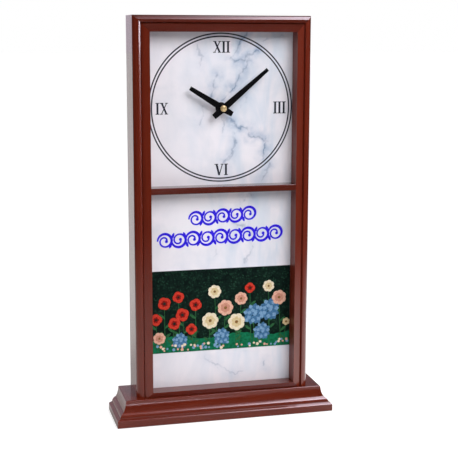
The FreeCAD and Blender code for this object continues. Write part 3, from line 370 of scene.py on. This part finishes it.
def vein_masks(paint, spot):
    """Two masks for all the veins: their cores and their halos."""
    group = segment_group()
    cores, halos = [], []
    for strength, places in VEINS:
        points = [(x * MM, 0, z * MM) for x, z in places]
        gaps = [paint.node("ShaderNodeGroup", {0: spot, 1: start, 2: end}, node_tree=group).outputs[0]
                for start, end in zip(points, points[1:])]
        nearest = paint.chain("MINIMUM", gaps)
        cores.append(paint.between(nearest, *CORE_WIDE, strength, 0.0))
        halos.append(paint.between(nearest, *HALO_WIDE, strength, 0.0))
    return paint.chain("MAXIMUM", cores), paint.chain("MAXIMUM", halos)


def ring_mask(paint, flat):
    """The two rings round the dial."""
    from_hub = paint.vector("DISTANCE", flat, (0.0, 0.0, DIAL_HEIGHT)).outputs["Value"]
    rings = []
    for radius in (INNER_RING, OUTER_RING):
        off = paint.calc("ABSOLUTE", paint.calc("SUBTRACT", from_hub, radius))
        rings.append(paint.falls(off, (RING_WIDE * 0.4, RING_WIDE * 0.6)))
    return paint.chain("MAXIMUM", rings)


def marble_panel():
    """Printed marble with two dial rings on the front, and plain brown board elsewhere."""
    paint = Paint("marble_print", Specular_IOR_Level=0.25)
    flat = paint.stretched((1, 0, 1))
    bend = {}
    for axis, shift in (("X", (0, 0, 0)), ("Z", (7, 3, 5))):
        field = paint.noise(paint.stretched(BEND_SCALE, shift), 3.0, 0.6)
        bend[axis] = paint.between(field, 0.25, 0.75, -BEND_REACH, BEND_REACH)
    moved = paint.node("ShaderNodeCombineXYZ", bend).outputs[0]
    core, halo = vein_masks(paint, paint.vector("ADD", flat, moved).outputs[0])
    breaks = paint.noise(paint.stretched((60, 60, 60), (3, 9, 4)), 3.0, 0.6)
    fade = paint.between(breaks, 0.36, 0.60, 0.15, 1.0)
    clouds = paint.noise(paint.stretched((24, 24, 24), (5, 1, 2)), 4.0, 0.55, 0.8)
    stone = paint.mix(paint.between(clouds, 0.45, 0.75), MARBLE_PALE, MARBLE_CLOUD)
    drift = paint.node("ShaderNodeMapping", {"Vector": paint.here, "Rotation": (0, SMOKE_TURN, 0),
                                             "Scale": (46, 0, 13)}).outputs[0]
    smoke = paint.between(paint.noise(drift, 3.0, 0.55, 0.4), 0.42, 0.72)
    reach = paint.between(paint.split(paint.here)["X"], *SMOKE_X, SMOKE_LEFT, 1.0)
    stone = paint.mix(paint.product(smoke, reach, SMOKE_SHARE), stone, SMOKE_TINT)
    stone = paint.mix(paint.product(halo, halo, paint.product(fade, HALO_SHARE)), stone, VEIN_HALO)
    stone = paint.mix(paint.product(core, paint.product(fade, CORE_SHARE)), stone, VEIN_CORE)
    face = paint.mix(ring_mask(paint, flat), stone, PRINT_INK)
    fibre = paint.noise(paint.stretched((900, 900, 900)), 3.0, 0.7)
    board = paint.ramp(fibre, [(0.3, (0.13, 0.075, 0.04)), (0.7, (0.25, 0.155, 0.09))])
    normal = paint.node("ShaderNodeNewGeometry").outputs["Normal"]
    front = paint.calc("LESS_THAN", paint.split(normal)["Y"], -0.5)
    paint.put("Base Color", paint.mix(front, board, face))
    paint.put("Roughness", paint.between(front, 0.0, 1.0, 0.8, 0.45))
    paint.bump(fibre, 0.00002, 0.25)
    return paint.material


def simple(name, low, high, scale, rough, depth=0.00002, stretch=(1, 1, 1), **sockets):
    """A finish whose colour, roughness and surface all vary with one fine noise."""
    paint = Paint(name, **sockets)
    grain = paint.noise(paint.stretched(tuple(scale * s for s in stretch)), 4.0, 0.6)
    paint.put("Base Color", paint.ramp(grain, [(0.3, low), (0.7, high)]))
    paint.put("Roughness", paint.between(grain, 0.3, 0.7, *rough))
    if depth:
        paint.bump(grain, depth, 0.6)
    return paint.material


def winding():
    """Copper wire laid turn by turn along the coil."""
    paint = Paint("copper_wire", Metallic=0.9)
    turns = paint.node("ShaderNodeTexWave", {"Vector": paint.here, "Scale": 800.0, "Distortion": 0.4,
                                             "Detail": 1.0}, bands_direction="X").outputs[0]
    paint.put("Base Color", paint.ramp(turns, [(0.1, (0.18, 0.05, 0.02)), (0.7, (0.78, 0.32, 0.14))]))
    paint.put("Roughness", paint.between(turns, 0.0, 1.0, 0.5, 0.25))
    paint.bump(turns, 0.0001)
    return paint.material


housing = simple("moulded_black", (0.012, 0.012, 0.013), (0.026, 0.026, 0.028), 2200.0, (0.45, 0.7),
                 0.00008)
steel = simple("zinc_steel", (0.42, 0.42, 0.43), (0.60, 0.60, 0.61), 1500.0, (0.25, 0.42), 0.00001,
               (1, 1, 0.1), Metallic=1.0)
natural = simple("natural_plastic", (0.74, 0.73, 0.68), (0.84, 0.83, 0.79), 700.0, (0.3, 0.45), 0.00001)
iron = simple("stamped_iron", (0.30, 0.30, 0.31), (0.46, 0.46, 0.47), 1400.0, (0.35, 0.55), 0.00002,
              (0.2, 1, 1), Metallic=1.0)
black = simple("matte_black", (0.0010, 0.0010, 0.0013), (0.003, 0.003, 0.0035), 2400.0, (0.45, 0.6),
               0.00002, Specular_IOR_Level=0.08)
brass = simple("polished_brass", (0.66, 0.46, 0.20), (0.84, 0.65, 0.36), 1800.0, (0.22, 0.32), 0.0,
               Metallic=0.55)
MATERIALS = {
    "display_panel": marble_panel(),
    "base_felt": simple("felt", (0.015, 0.02, 0.016), (0.05, 0.058, 0.05), 2600.0, (0.9, 1.0), 0.0004,
                        Sheen_Weight=0.4),
    "base_core": raw_wood("core_wood", "x", 3),
    "bottom_board": raw_wood("bottom_wood", "x", 5),
    "left_batten": raw_wood("left_batten_wood", "z", 7),
    "right_batten": raw_wood("right_batten_wood", "z", 9),
    "top_batten": raw_wood("top_batten_wood", "x", 11),
    "movement_case": housing,
    "movement_cover": housing,
    "set_knob": simple("red_knob", (0.30, 0.025, 0.02), (0.42, 0.04, 0.03), 1200.0, (0.35, 0.5)),
    "rubber_gasket": simple("soft_rubber", (0.014, 0.014, 0.014), (0.035, 0.035, 0.035), 1600.0,
                            (0.7, 0.9)),
    "rotor_magnet": simple("sintered_magnet", (0.05, 0.05, 0.055), (0.13, 0.13, 0.14), 2600.0, (0.5, 0.7)),
    "coil_winding": winding(),
    "circuit_board": simple("solder_mask", (0.012, 0.12, 0.045), (0.03, 0.20, 0.08), 1100.0, (0.2, 0.35)),
    "control_chip": simple("potted_chip", (0.010, 0.010, 0.010), (0.025, 0.025, 0.025), 1800.0,
                           (0.4, 0.7)),
    "quartz_crystal": simple("drawn_can", (0.62, 0.62, 0.63), (0.75, 0.75, 0.76), 900.0, (0.12, 0.25), 0.0,
                             (0.1, 1, 1), Metallic=1.0),
    "battery": simple("cell_wrap", (0.075, 0.08, 0.095), (0.11, 0.12, 0.14), 500.0, (0.25, 0.35), 0.0,
                      Metallic=0.3),
    "shaft_bush": simple("turned_brass", (0.50, 0.36, 0.16), (0.72, 0.54, 0.28), 1500.0, (0.25, 0.4),
                         0.00004, (0.2, 1, 0.2), Metallic=1.0),
    "hand_nut": brass,
}
for name in ("base_screws", "batten_brads", "minute_arbor", "plus_contact", "minus_contact"):
    MATERIALS[name] = steel
for name in ("hour_wheel", "motion_wheel", "centre_wheel", "third_wheel", "seconds_wheel", "step_wheel",
             "rotor_pinion", "coil_bobbin"):
    MATERIALS[name] = natural
for name in ("stator", "coil_core"):
    MATERIALS[name] = iron
for name in ("hour_hand", "minute_hand", "bush_washer", "bush_nut"):
    MATERIALS[name] = black
# Each stained piece, with the way its grain runs and its shade, where more than 1 is lighter. The top
# rail's and the middle rail's low shades are painted shade: their stain is darkened to stand in for the
# lesser light that falls on them.
GRAIN = {
    "left_stile": ("z", 1.07), "right_stile": ("z", 1.06),
    # top_rail and mid_rail: painted shade, stain darkened for the light these rails miss.
    "top_rail": ("x", 0.60), "bottom_rail": ("x", 1.0), "mid_rail": ("x", 0.62),
    "left_side_board": ("z", 0.95), "right_side_board": ("z", 1.0), "top_board": ("x", 1.0),
    "base_front_moulding": ("x", 0.97), "base_left_moulding": ("y", 0.95),
    "base_right_moulding": ("y", 1.0),
}
for seed, (name, (along, shade)) in enumerate(GRAIN.items(), 1):
    MATERIALS[name] = stained_wood(f"{name}_wood", along, seed, shade)

for name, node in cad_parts.items():
    node.data.materials.clear()
    node.data.materials.append(MATERIALS[name])

EDGE_WIDE = 0.45 * MM
BASE_EDGE_WIDE = 0.22 * MM
EDGE_SEGMENTS = 2
EDGE_ANGLE = math.radians(35)
WELD_GAP = 0.00001


def ease_edges(node, width):
    """Rounds a wooden piece's sharp edges a little, so that they catch the light."""
    weld = node.modifiers.new("weld", "WELD")
    weld.merge_threshold = WELD_GAP
    bevel = node.modifiers.new("ease", "BEVEL")
    bevel.width = width
    bevel.segments = EDGE_SEGMENTS
    bevel.limit_method = "ANGLE"
    bevel.angle_limit = EDGE_ANGLE
    even = node.modifiers.new("even", "WEIGHTED_NORMAL")
    even.keep_sharp = True


for name in GRAIN:
    ease_edges(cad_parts[name], BASE_EDGE_WIDE if name.startswith("base") else EDGE_WIDE)


# Flat printed shapes, laid just in front of the panel.

def flat_mesh(name, faces, layer, material):
    """A mesh of flat polygons, each a list of (across, up) points in millimetres."""
    points = []
    loops = []
    for index, face in enumerate(faces):
        depth = FACE - layer * PRINT_STEP - index % FACE_STEPS * FACE_STEP
        loops.append(list(range(len(points), len(points) + len(face))))
        points.extend((x * MM, depth, z * MM) for x, z in face)
    mesh = bpy.data.meshes.new(name)
    mesh.from_pydata(points, [], loops)
    mesh.update()
    thing = bpy.data.objects.new(name, mesh)
    bpy.context.scene.collection.objects.link(thing)
    mesh.materials.append(material)
    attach(thing, "case")


def slanted(low_x, high_x, wide, tall):
    """A stroke from the foot to the head of a letter, with level ends."""
    return [(low_x, 0), (low_x + wide, 0), (high_x + wide, tall), (high_x, tall)]


# The dial's letters in millimetres, before a numeral is squeezed into its place.
LETTER_TALL = 11.6
LETTER_GAP = 0.45
THICK = 1.95
THIN = 0.95
SERIF = 0.75
# Each numeral with the left, right, low and high edge of its place.
NUMERALS = (
    ("XII", -8.4, 9.3, 378.2, 389.8), ("III", 55.5, 68.9, 316.1, 328.4),
    ("VI", -6.9, 7.3, 253.5, 265.3), ("IX", -67.9, -55.1, 316.7, 328.4),
)


def serif(left, right, foot):
    """A thin bar at the foot or the head of a letter."""
    low = 0 if foot else LETTER_TALL - SERIF
    return [(left, low), (right, low), (right, low + SERIF), (left, low + SERIF)]


def letter(kind):
    """The strokes of I, V or X, and the letter's width."""
    tall = LETTER_TALL
    if kind == "I":
        wide = 3.9
        left = (wide - THICK) / 2
        return [slanted(left, left, THICK, tall), serif(0, wide, True), serif(0, wide, False)], wide
    if kind == "V":
        wide = 9.2
        foot = wide / 2
        strokes = [slanted(foot - 0.8, 1.0, THICK, tall), slanted(foot - 0.35, wide - 1.6, THIN, tall)]
        return strokes + [serif(0, 3.6, False), serif(wide - 3.0, wide, False)], wide
    wide = 8.2
    strokes = [slanted(wide - 2.4, 0.8, THICK, tall), slanted(1.0, wide - 1.7, THIN, tall)]
    serifs = [serif(0, 2.8, True), serif(wide - 3.4, wide, True), serif(0, 3.4, False),
              serif(wide - 2.9, wide, False)]
    return strokes + serifs, wide


def numeral(text, left, right, low, high):
    """A numeral squeezed into its place on the dial."""
    faces = []
    reach = 0.0
    for kind in text:
        strokes, wide = letter(kind)
        faces += [[(x + reach, z) for x, z in stroke] for stroke in strokes]
        reach += wide + LETTER_GAP
    across = (right - left) / (reach - LETTER_GAP)
    upward = (high - low) / LETTER_TALL
    return [[(left + x * across, low + z * upward) for x, z in face] for face in faces]


dial_ink = simple("numeral_ink", (0.010, 0.012, 0.022), (0.020, 0.023, 0.040), 1300.0, (0.4, 0.5), 0.0,
                  Specular_IOR_Level=0.2)
flat_mesh("dial_numerals", [face for place in NUMERALS for face in numeral(*place)], 1, dial_ink)


# Scroll ornament in blue: a running row of linked spirals with leaves. Its spiral's and leaves'
# sizes are shares of the step from one spiral to the next.

SPIRAL_STEPS = 72
SPIRAL_TURNS = 1.55
EYE_REACH = 0.13
EYE_DOT = 0.11
EYE_SIDES = 16
BRUSH_WIDE = 0.19
BRUSH_TAIL = 0.62
LEAF_LONG = 0.46
LEAF_WIDE = 0.2
LEAF_RISE = 0.12
LEAF_TURNS = (112, -68)
# Each row of spirals with its left and right end, middle height, count and slant.
SCROLL_ROWS = ((-34.0, 37.0, 210.5, 5, 0.06), (-67.0, 66.0, 189.0, 9, 0.035))


def ribbon(places, widths):
    """The outline of a band of changing width along a line of places."""
    left, right = [], []
    for index, (x, z) in enumerate(places):
        before = places[max(index - 1, 0)]
        after = places[min(index + 1, len(places) - 1)]
        run = math.atan2(after[1] - before[1], after[0] - before[0])
        half = widths[index] / 2
        left.append((x - math.sin(run) * half, z + math.cos(run) * half))
        right.append((x + math.sin(run) * half, z - math.cos(run) * half))
    return left + right[::-1]


def oval(x, z, long, wide, turn, sides=10):
    """A leaf that starts at a point and runs in a direction, pointed at both ends."""
    angle = math.radians(turn)
    out = []
    for index in range(sides):
        t = 2 * math.pi * index / sides
        along = long / 2 * (1 - math.cos(t))
        across = wide / 2 * math.sin(t) * abs(math.sin(t)) ** 0.4
        out.append((x + along * math.cos(angle) - across * math.sin(angle),
                    z + along * math.sin(angle) + across * math.cos(angle)))
    return out


def disc(x, z, radius, sides):
    """A round dot."""
    angles = [2 * math.pi * index / sides for index in range(sides)]
    return [(x + radius * math.cos(angle), z + radius * math.sin(angle)) for angle in angles]


def spiral(x, z, step, side):
    """One volute: half a turn at full size, then winding in to its eye."""
    places, widths = [], []
    outer = step / 2
    for index in range(SPIRAL_STEPS + 1):
        turns = SPIRAL_TURNS * index / SPIRAL_STEPS
        shrink = max(0.0, turns - 0.5) / (SPIRAL_TURNS - 0.5)
        radius = outer * (1 - shrink) + step * EYE_REACH * shrink
        angle = math.pi - 2 * math.pi * turns
        places.append((x + outer + radius * math.cos(angle), z + side * radius * math.sin(angle)))
        swell = 0.45 + 0.55 * math.sin(math.pi * min(1.0, turns / 0.9 + 0.08))
        widths.append(step * BRUSH_WIDE * (swell if turns < 0.75 else BRUSH_TAIL))
    return places, widths


def scroll_row(left, right, middle, count, slant):
    """Linked volutes that wind up and down in turn, with two leaves at each link."""
    faces = []
    step = (right - left) / count
    for index in range(count):
        side = 1 if index % 2 == 0 else -1
        foot = left + step * index
        places, widths = spiral(foot, middle, step, side)
        faces.append(ribbon(places, widths))
        faces.append(disc(*places[-1], step * EYE_DOT, EYE_SIDES))
        if index > 0:
            for way, turn in zip((side, -side), LEAF_TURNS):
                faces.append(oval(foot, middle + way * step * LEAF_RISE, step * LEAF_LONG,
                                  step * LEAF_WIDE, side * turn))
    return [[(x, z + slant * x) for x, z in face] for face in faces]


flourish_ink = simple("blue_ink", (0.016, 0.006, 0.60), (0.034, 0.012, 0.80), 420.0, (0.4, 0.5), 0.0,
                      Specular_IOR_Level=0.2)
flat_mesh("scroll_ornament", [face for row in SCROLL_ROWS for face in scroll_row(*row)], 1, flourish_ink)


# Garden print in the lower window, in millimetres.

PRINT_LOW = 67.8
PRINT_HIGH = 155.3
PRINT_HALF = WINDOW_HALF / MM - 0.05
LEAF_COUNT = 520
LEAF_SIZE = 2.6
DEEP_LEAF_COUNT = 700
DEEP_LEAF_SIZE = 3.0
LEAF_SQUASH = 0.45
LAWN_HIGH = 83.0
LAWN_STEPS = 60
LAWN_WAVE = 2.0
LAWN_WAVE_RATE = 0.09
LAWN_ROUGH = 0.7
STALK_FOOT_HALF = 0.45
STALK_TOP_HALF = 0.3
STALK_LEAVES = (0.3, 0.5, 0.7)
STALK_LEAF_LONG = 8.0
STALK_LEAF_WIDE = 2.8
STALK_LEAF_TURN = 50
BALL_BLOOMS = 34
GOLDEN_ANGLE = 2.39996
SMALL_BLOOMS = 60
SMALL_BLOOM_HIGH = 76
# Flowers: across, up and radius, and for roses the outer and inner petals.
POPPIES = ((-68, 104, 6.4), (-60, 121, 7.0), (-52, 99, 6.6), (-44, 127, 6.2), (-38, 108, 7.2),
           (-29, 92, 6.0), (-27, 118, 6.6), (33, 133, 5.6))
ROSES = ((-13, 100, 9.0, "cream", "straw"), (3, 113, 8.6, "peach", "rose"),
         (16, 97, 9.4, "cream", "straw"), (-4, 131, 7.2, "cream", "straw"),
         (20, 122, 7.0, "peach", "rose"), (-66, 84, 6.6, "peach", "rose"),
         (66, 121, 8.0, "peach", "rose"), (53, 134, 6.4, "cream", "straw"),
         (69, 94, 6.8, "cream", "straw"))
BALLS = ((36, 104, 10.0), (53, 108, 10.5), (45, 85, 8.5), (1, 82, 8.0), (-44, 80, 7.6))
# Each kind of petal with its darkest and lightest colour, from the back layer to the front.
PETAL_TONES = {
    "blue": ((0.03, 0.10, 0.22), (0.09, 0.22, 0.40)),
    "pale_blue": ((0.12, 0.24, 0.42), (0.24, 0.42, 0.62)),
    "red": ((0.42, 0.02, 0.012), (0.70, 0.06, 0.035)),
    "deep_red": ((0.16, 0.006, 0.005), (0.3, 0.015, 0.01)),
    "peach": ((0.60, 0.30, 0.21), (0.84, 0.52, 0.40)),
    "rose": ((0.48, 0.19, 0.13), (0.68, 0.34, 0.25)),
    "cream": ((0.68, 0.56, 0.38), (0.88, 0.80, 0.64)),
    "straw": ((0.56, 0.42, 0.20), (0.76, 0.62, 0.38)),
    "seed": ((0.008, 0.008, 0.010), (0.03, 0.025, 0.02)),
    "bronze": ((0.16, 0.07, 0.02), (0.30, 0.15, 0.05)),
}


def kept(faces):
    """The shapes that lie wholly inside the print."""
    return [face for face in faces
            if all(abs(x) < PRINT_HALF and PRINT_LOW < z < PRINT_HIGH for x, z in face)]


def scatter(count, low, high, size):
    """Leaves strewn over a strip of the print."""
    faces = []
    for _ in range(count):
        long = size * random.uniform(0.6, 1.3)
        faces.append(oval(random.uniform(-PRINT_HALF, PRINT_HALF), random.uniform(low, high), long,
                          long * LEAF_SQUASH, random.uniform(0, 360), 8))
    return kept(faces)


def bloom(x, z, radius, lobes, turn, depth=0.2):
    """A flower seen from the front, as one outline with rounded lobes."""
    out = []
    for index in range(lobes * 8):
        angle = 2 * math.pi * index / (lobes * 8)
        reach = radius * (1 - depth + depth * abs(math.cos(lobes * angle / 2)) ** 0.7)
        out.append((x + reach * math.cos(angle + turn), z + reach * math.sin(angle + turn)))
    return out


def print_paint(name, low, high, scale=600.0):
    """Printing ink on the panel."""
    return simple(name, low, high, scale, (0.4, 0.5), 0.0, Specular_IOR_Level=0.06)


def hedge_print():
    """Dark foliage of small round leaves."""
    paint = Paint("hedge_print", Roughness=0.5, Specular_IOR_Level=0.06)
    leaves = paint.node("ShaderNodeTexVoronoi", {"Vector": paint.stretched((1, 0, 1)), "Scale": 380.0})
    clumps = paint.noise(paint.stretched((90, 90, 90)), 4.0, 0.7)
    level = paint.product(clumps, paint.between(leaves.outputs[0], 0.0, 0.9, 1.25, 0.5))
    tones = [(0.25, (0.0015, 0.006, 0.005)), (0.5, (0.004, 0.016, 0.011)), (0.75, (0.018, 0.055, 0.032))]
    paint.put("Base Color", paint.ramp(level, tones))
    return paint.material


flat_mesh("print_hedge", [[(-PRINT_HALF, PRINT_LOW), (PRINT_HALF, PRINT_LOW), (PRINT_HALF, PRINT_HIGH),
                           (-PRINT_HALF, PRINT_HIGH)]], 1, hedge_print())
flat_mesh("print_leaves", scatter(LEAF_COUNT, LAWN_HIGH, PRINT_HIGH, LEAF_SIZE), 2,
          print_paint("leaf_print", (0.004, 0.020, 0.012), (0.016, 0.054, 0.030)))
flat_mesh("print_deep_leaves", scatter(DEEP_LEAF_COUNT, LAWN_HIGH, PRINT_HIGH, DEEP_LEAF_SIZE), 3,
          print_paint("deep_leaf_print", (0.0015, 0.006, 0.005), (0.004, 0.018, 0.012)))

lawn_edge = [(-PRINT_HALF, PRINT_LOW), (PRINT_HALF, PRINT_LOW)]
for index in range(LAWN_STEPS + 1):
    x = PRINT_HALF * (1 - index / (LAWN_STEPS / 2))
    wave = LAWN_WAVE * math.sin(x * LAWN_WAVE_RATE)
    lawn_edge.append((x, LAWN_HIGH + wave + random.uniform(-LAWN_ROUGH, LAWN_ROUGH)))
flat_mesh("print_lawn", [lawn_edge], 4,
          print_paint("lawn_print", (0.002, 0.072, 0.032), (0.008, 0.20, 0.090), 380.0))

stems = []
petals = {name: [] for name in PETAL_TONES}


def stem(x, high, lean):
    """A stalk with three leaves that rises to a flower; gives where the flower sits."""
    top = x + lean
    foot = PRINT_LOW + 1
    stems.append([(x - STALK_FOOT_HALF, foot), (x + STALK_FOOT_HALF, foot),
                  (top + STALK_TOP_HALF, high), (top - STALK_TOP_HALF, high)])
    for share in STALK_LEAVES:
        side = random.choice((-1, 1))
        rise = PRINT_LOW + (high - PRINT_LOW) * share
        stems.append(oval(x + lean * share, rise, STALK_LEAF_LONG, STALK_LEAF_WIDE,
                          90 - side * STALK_LEAF_TURN))
    return top


def poppy(x, z, radius):
    """A red flower with a dark heart."""
    top = stem(x, z, random.uniform(-4, 4))
    turn = random.uniform(0, 2)
    petals["red"].append(bloom(top, z, radius, 4, turn, 0.16))
    petals["deep_red"].append(bloom(top, z, radius * 0.5, 5, turn, 0.3))
    petals["seed"].append(bloom(top, z, radius * 0.22, 8, turn, 0.15))


def full_rose(x, z, radius, outer, inner):
    """A broad pale flower with an inner ring of petals."""
    top = stem(x, z, random.uniform(-3, 3))
    turn = random.uniform(0, 2)
    petals[outer].append(bloom(top, z, radius, 7, turn, 0.14))
    petals[inner].append(bloom(top, z, radius * 0.62, 6, turn + 0.4, 0.2))
    petals["bronze"].append(bloom(top, z, radius * 0.2, 5, turn, 0.25))


def flower_ball(x, z, radius):
    """A round head of many small blue flowers."""
    stem(x, z, 0)
    for index in range(BALL_BLOOMS):
        reach = radius * math.sqrt((index + 0.5) / BALL_BLOOMS)
        angle = index * GOLDEN_ANGLE
        name = "blue" if index % 3 else "pale_blue"
        petals[name].append(bloom(x + reach * math.cos(angle), z + reach * math.sin(angle),
                                  radius * 0.22, 4, angle, 0.3))


for flower in POPPIES:
    poppy(*flower)
for flower in ROSES:
    full_rose(*flower)
for flower in BALLS:
    flower_ball(*flower)
for _ in range(SMALL_BLOOMS):
    x = random.uniform(-PRINT_HALF, PRINT_HALF)
    z = random.uniform(PRINT_LOW + 1.5, SMALL_BLOOM_HIGH)
    small = petals[random.choice(("cream", "peach", "pale_blue"))]
    small.append(bloom(x, z, random.uniform(1.0, 1.8), 5, x))
flat_mesh("print_stems", kept(stems), 5,
          print_paint("stem_print", (0.010, 0.06, 0.02), (0.04, 0.16, 0.06)))
for layer, (name, (low, high)) in enumerate(PETAL_TONES.items(), 6):
    flat_mesh(f"print_{name}_petals", kept(petals[name]), layer,
              print_paint(f"{name}_petal_print", low, high))


# Studio.

def white_floor():
    """A pale floor that keeps the clock's soft shadow and meets the white background."""
    paint = Paint("studio_floor", Roughness=0.9, Specular_IOR_Level=0.1)
    grain = paint.noise(paint.stretched((3, 3, 3)), 2.0, 0.5)
    away = paint.vector("LENGTH", paint.stretched((1, 1, 0))).outputs["Value"]
    across = paint.calc("DIVIDE", paint.split(paint.here)["X"], away)
    back = paint.calc("DIVIDE", paint.split(paint.here)["Y"], away)
    rays = paint.node("ShaderNodeLightPath").outputs
    behind = paint.rises(back, BEHIND_Y)
    front = paint.falls(back, FRONT_Y)
    near = paint.calc("MAXIMUM", paint.falls(away, FLOOR_EDGE), behind)
    pale = paint.between(grain, 0.3, 0.7, FLOOR_ALBEDO, FLOOR_ALBEDO + FLOOR_GRAIN)
    dark = paint.product(rays["Is Glossy Ray"], front,
                         paint.product(paint.rises(away, DARK_NEAR), paint.rises(across, DARK_X)))
    level = paint.product(near, pale, paint.between(dark, 0.0, 1.0, 1.0, DARK_SHARE))
    grey = paint.node("ShaderNodeCombineColor", {0: level, 1: level, 2: level})
    paint.put("Base Color", grey.outputs[0])
    seen = paint.product(rays["Is Camera Ray"], paint.between(near, 0.0, 1.0, 1.0, FLOOR_GLOW))
    front_patch = paint.product(
        paint.rises(across, FRONT_PATCH_LEFT_X), paint.falls(across, FRONT_PATCH_RIGHT_X),
        paint.rises(away, FRONT_PATCH_NEAR), paint.falls(away, FRONT_PATCH_FAR), FRONT_PATCH, front)
    right_patch = paint.product(
        paint.rises(across, RIGHT_PATCH_X), paint.rises(away, RIGHT_PATCH_NEAR),
        paint.falls(away, RIGHT_PATCH_FAR), RIGHT_PATCH)
    patches = paint.chain("ADD", (front_patch, right_patch, paint.product(behind, BACK_PATCH)))
    mirrored = paint.product(rays["Is Glossy Ray"], patches)
    paint.put("Emission Color", (1.0, 1.0, 1.0))
    paint.put("Emission Strength", paint.calc("ADD", seen, mirrored))
    return paint.material


bpy.ops.mesh.primitive_plane_add(size=FLOOR_SIZE, location=(0, 0, -FLOOR_DROP))
floor = bpy.context.object
floor.name = "studio_floor"
floor.data.materials.append(white_floor())


def area_light(name, place, aim, size, power):
    """A soft light that only dull surfaces show."""
    lamp = bpy.data.lights.new(name, "AREA")
    lamp.shape = "RECTANGLE"
    lamp.size = size
    lamp.size_y = size
    lamp.energy = power
    thing = bpy.data.objects.new(name, lamp)
    bpy.context.scene.collection.objects.link(thing)
    thing.location = place
    thing.rotation_mode = "QUATERNION"
    thing.rotation_quaternion = (Vector(aim) - Vector(place)).to_track_quat("-Z", "Y")
    thing.visible_glossy = False
    thing.visible_camera = False


for lamp_row in LAMPS:
    area_light(*lamp_row)

# The camera sees a white world. The rest of its light is described beside its named values.
world = bpy.data.worlds.new("studio")
bpy.context.scene.world = world
world.use_nodes = True
sky = Graph(world.node_tree)
background = sky.nodes["Background"].inputs
rays = sky.node("ShaderNodeLightPath").outputs
toward = sky.split(sky.node("ShaderNodeTexCoord").outputs["Generated"])
wrap = sky.between(toward["Y"], *WRAP_Y, WRAP_FRONT, WRAP_BACK)
back_wall = sky.between(toward["Y"], *BACK_WALL_Y, FRONT_SHEEN, BACK_SHEEN)
slope = sky.rises(toward["X"], CEILING_EXTRA_X)
ceiling = sky.product(
    sky.calc("MULTIPLY_ADD", sky.product(slope, slope), CEILING_EXTRA, CEILING_SHEEN),
    sky.rises(toward["Z"], CEILING_Z),
    sky.between(toward["Y"], *CEILING_DIM_Y, 1.0, CEILING_DIM_SHARE),
    sky.falls(toward["Y"], CEILING_END_Y))
rise = sky.rises(toward["Z"], SOFTBOX_LOW_Z)
softbox = sky.product(
    sky.between(toward["Y"], *SOFTBOX_Y, SOFTBOX_SHEEN, 0.0), sky.product(rise, rise),
    sky.falls(toward["Z"], SOFTBOX_HIGH_Z),
    sky.rises(toward["X"], SOFTBOX_LEFT_X), sky.falls(toward["X"], SOFTBOX_RIGHT_X))
sheen = sky.chain("ADD", (back_wall, ceiling, softbox))
lit = sky.node("ShaderNodeMix", {0: rays["Is Glossy Ray"], 2: wrap, 3: sheen}).outputs[0]
sky.feed(background["Strength"], sky.calc("MAXIMUM", rays["Is Camera Ray"], lit))
sky.feed(background["Color"], sky.mix(rays["Is Glossy Ray"], (1.0, 1.0, 1.0), SHEEN_TINT))

forward = Vector((math.sin(CAMERA_TURN) * math.cos(CAMERA_RISE),
                  math.cos(CAMERA_TURN) * math.cos(CAMERA_RISE), -math.sin(CAMERA_RISE)))
level_right = Vector((math.cos(CAMERA_TURN), -math.sin(CAMERA_TURN), 0.0))
level_up = level_right.cross(forward)
right = level_right * math.cos(CAMERA_ROLL) + level_up * math.sin(CAMERA_ROLL)
up = level_up * math.cos(CAMERA_ROLL) - level_right * math.sin(CAMERA_ROLL)
camera = bpy.data.objects.new("camera", bpy.data.cameras.new("camera"))
bpy.context.scene.collection.objects.link(camera)
camera.data.lens = CAMERA_LENS
camera.data.sensor_width = SENSOR_WIDE
camera.location = CAMERA_TARGET - forward * CAMERA_DISTANCE
camera.rotation_mode = "QUATERNION"
camera.rotation_quaternion = Matrix((right, up, -forward)).transposed().to_quaternion()
bpy.context.scene.camera = camera
bpy.context.scene.view_settings.view_transform = "Standard"
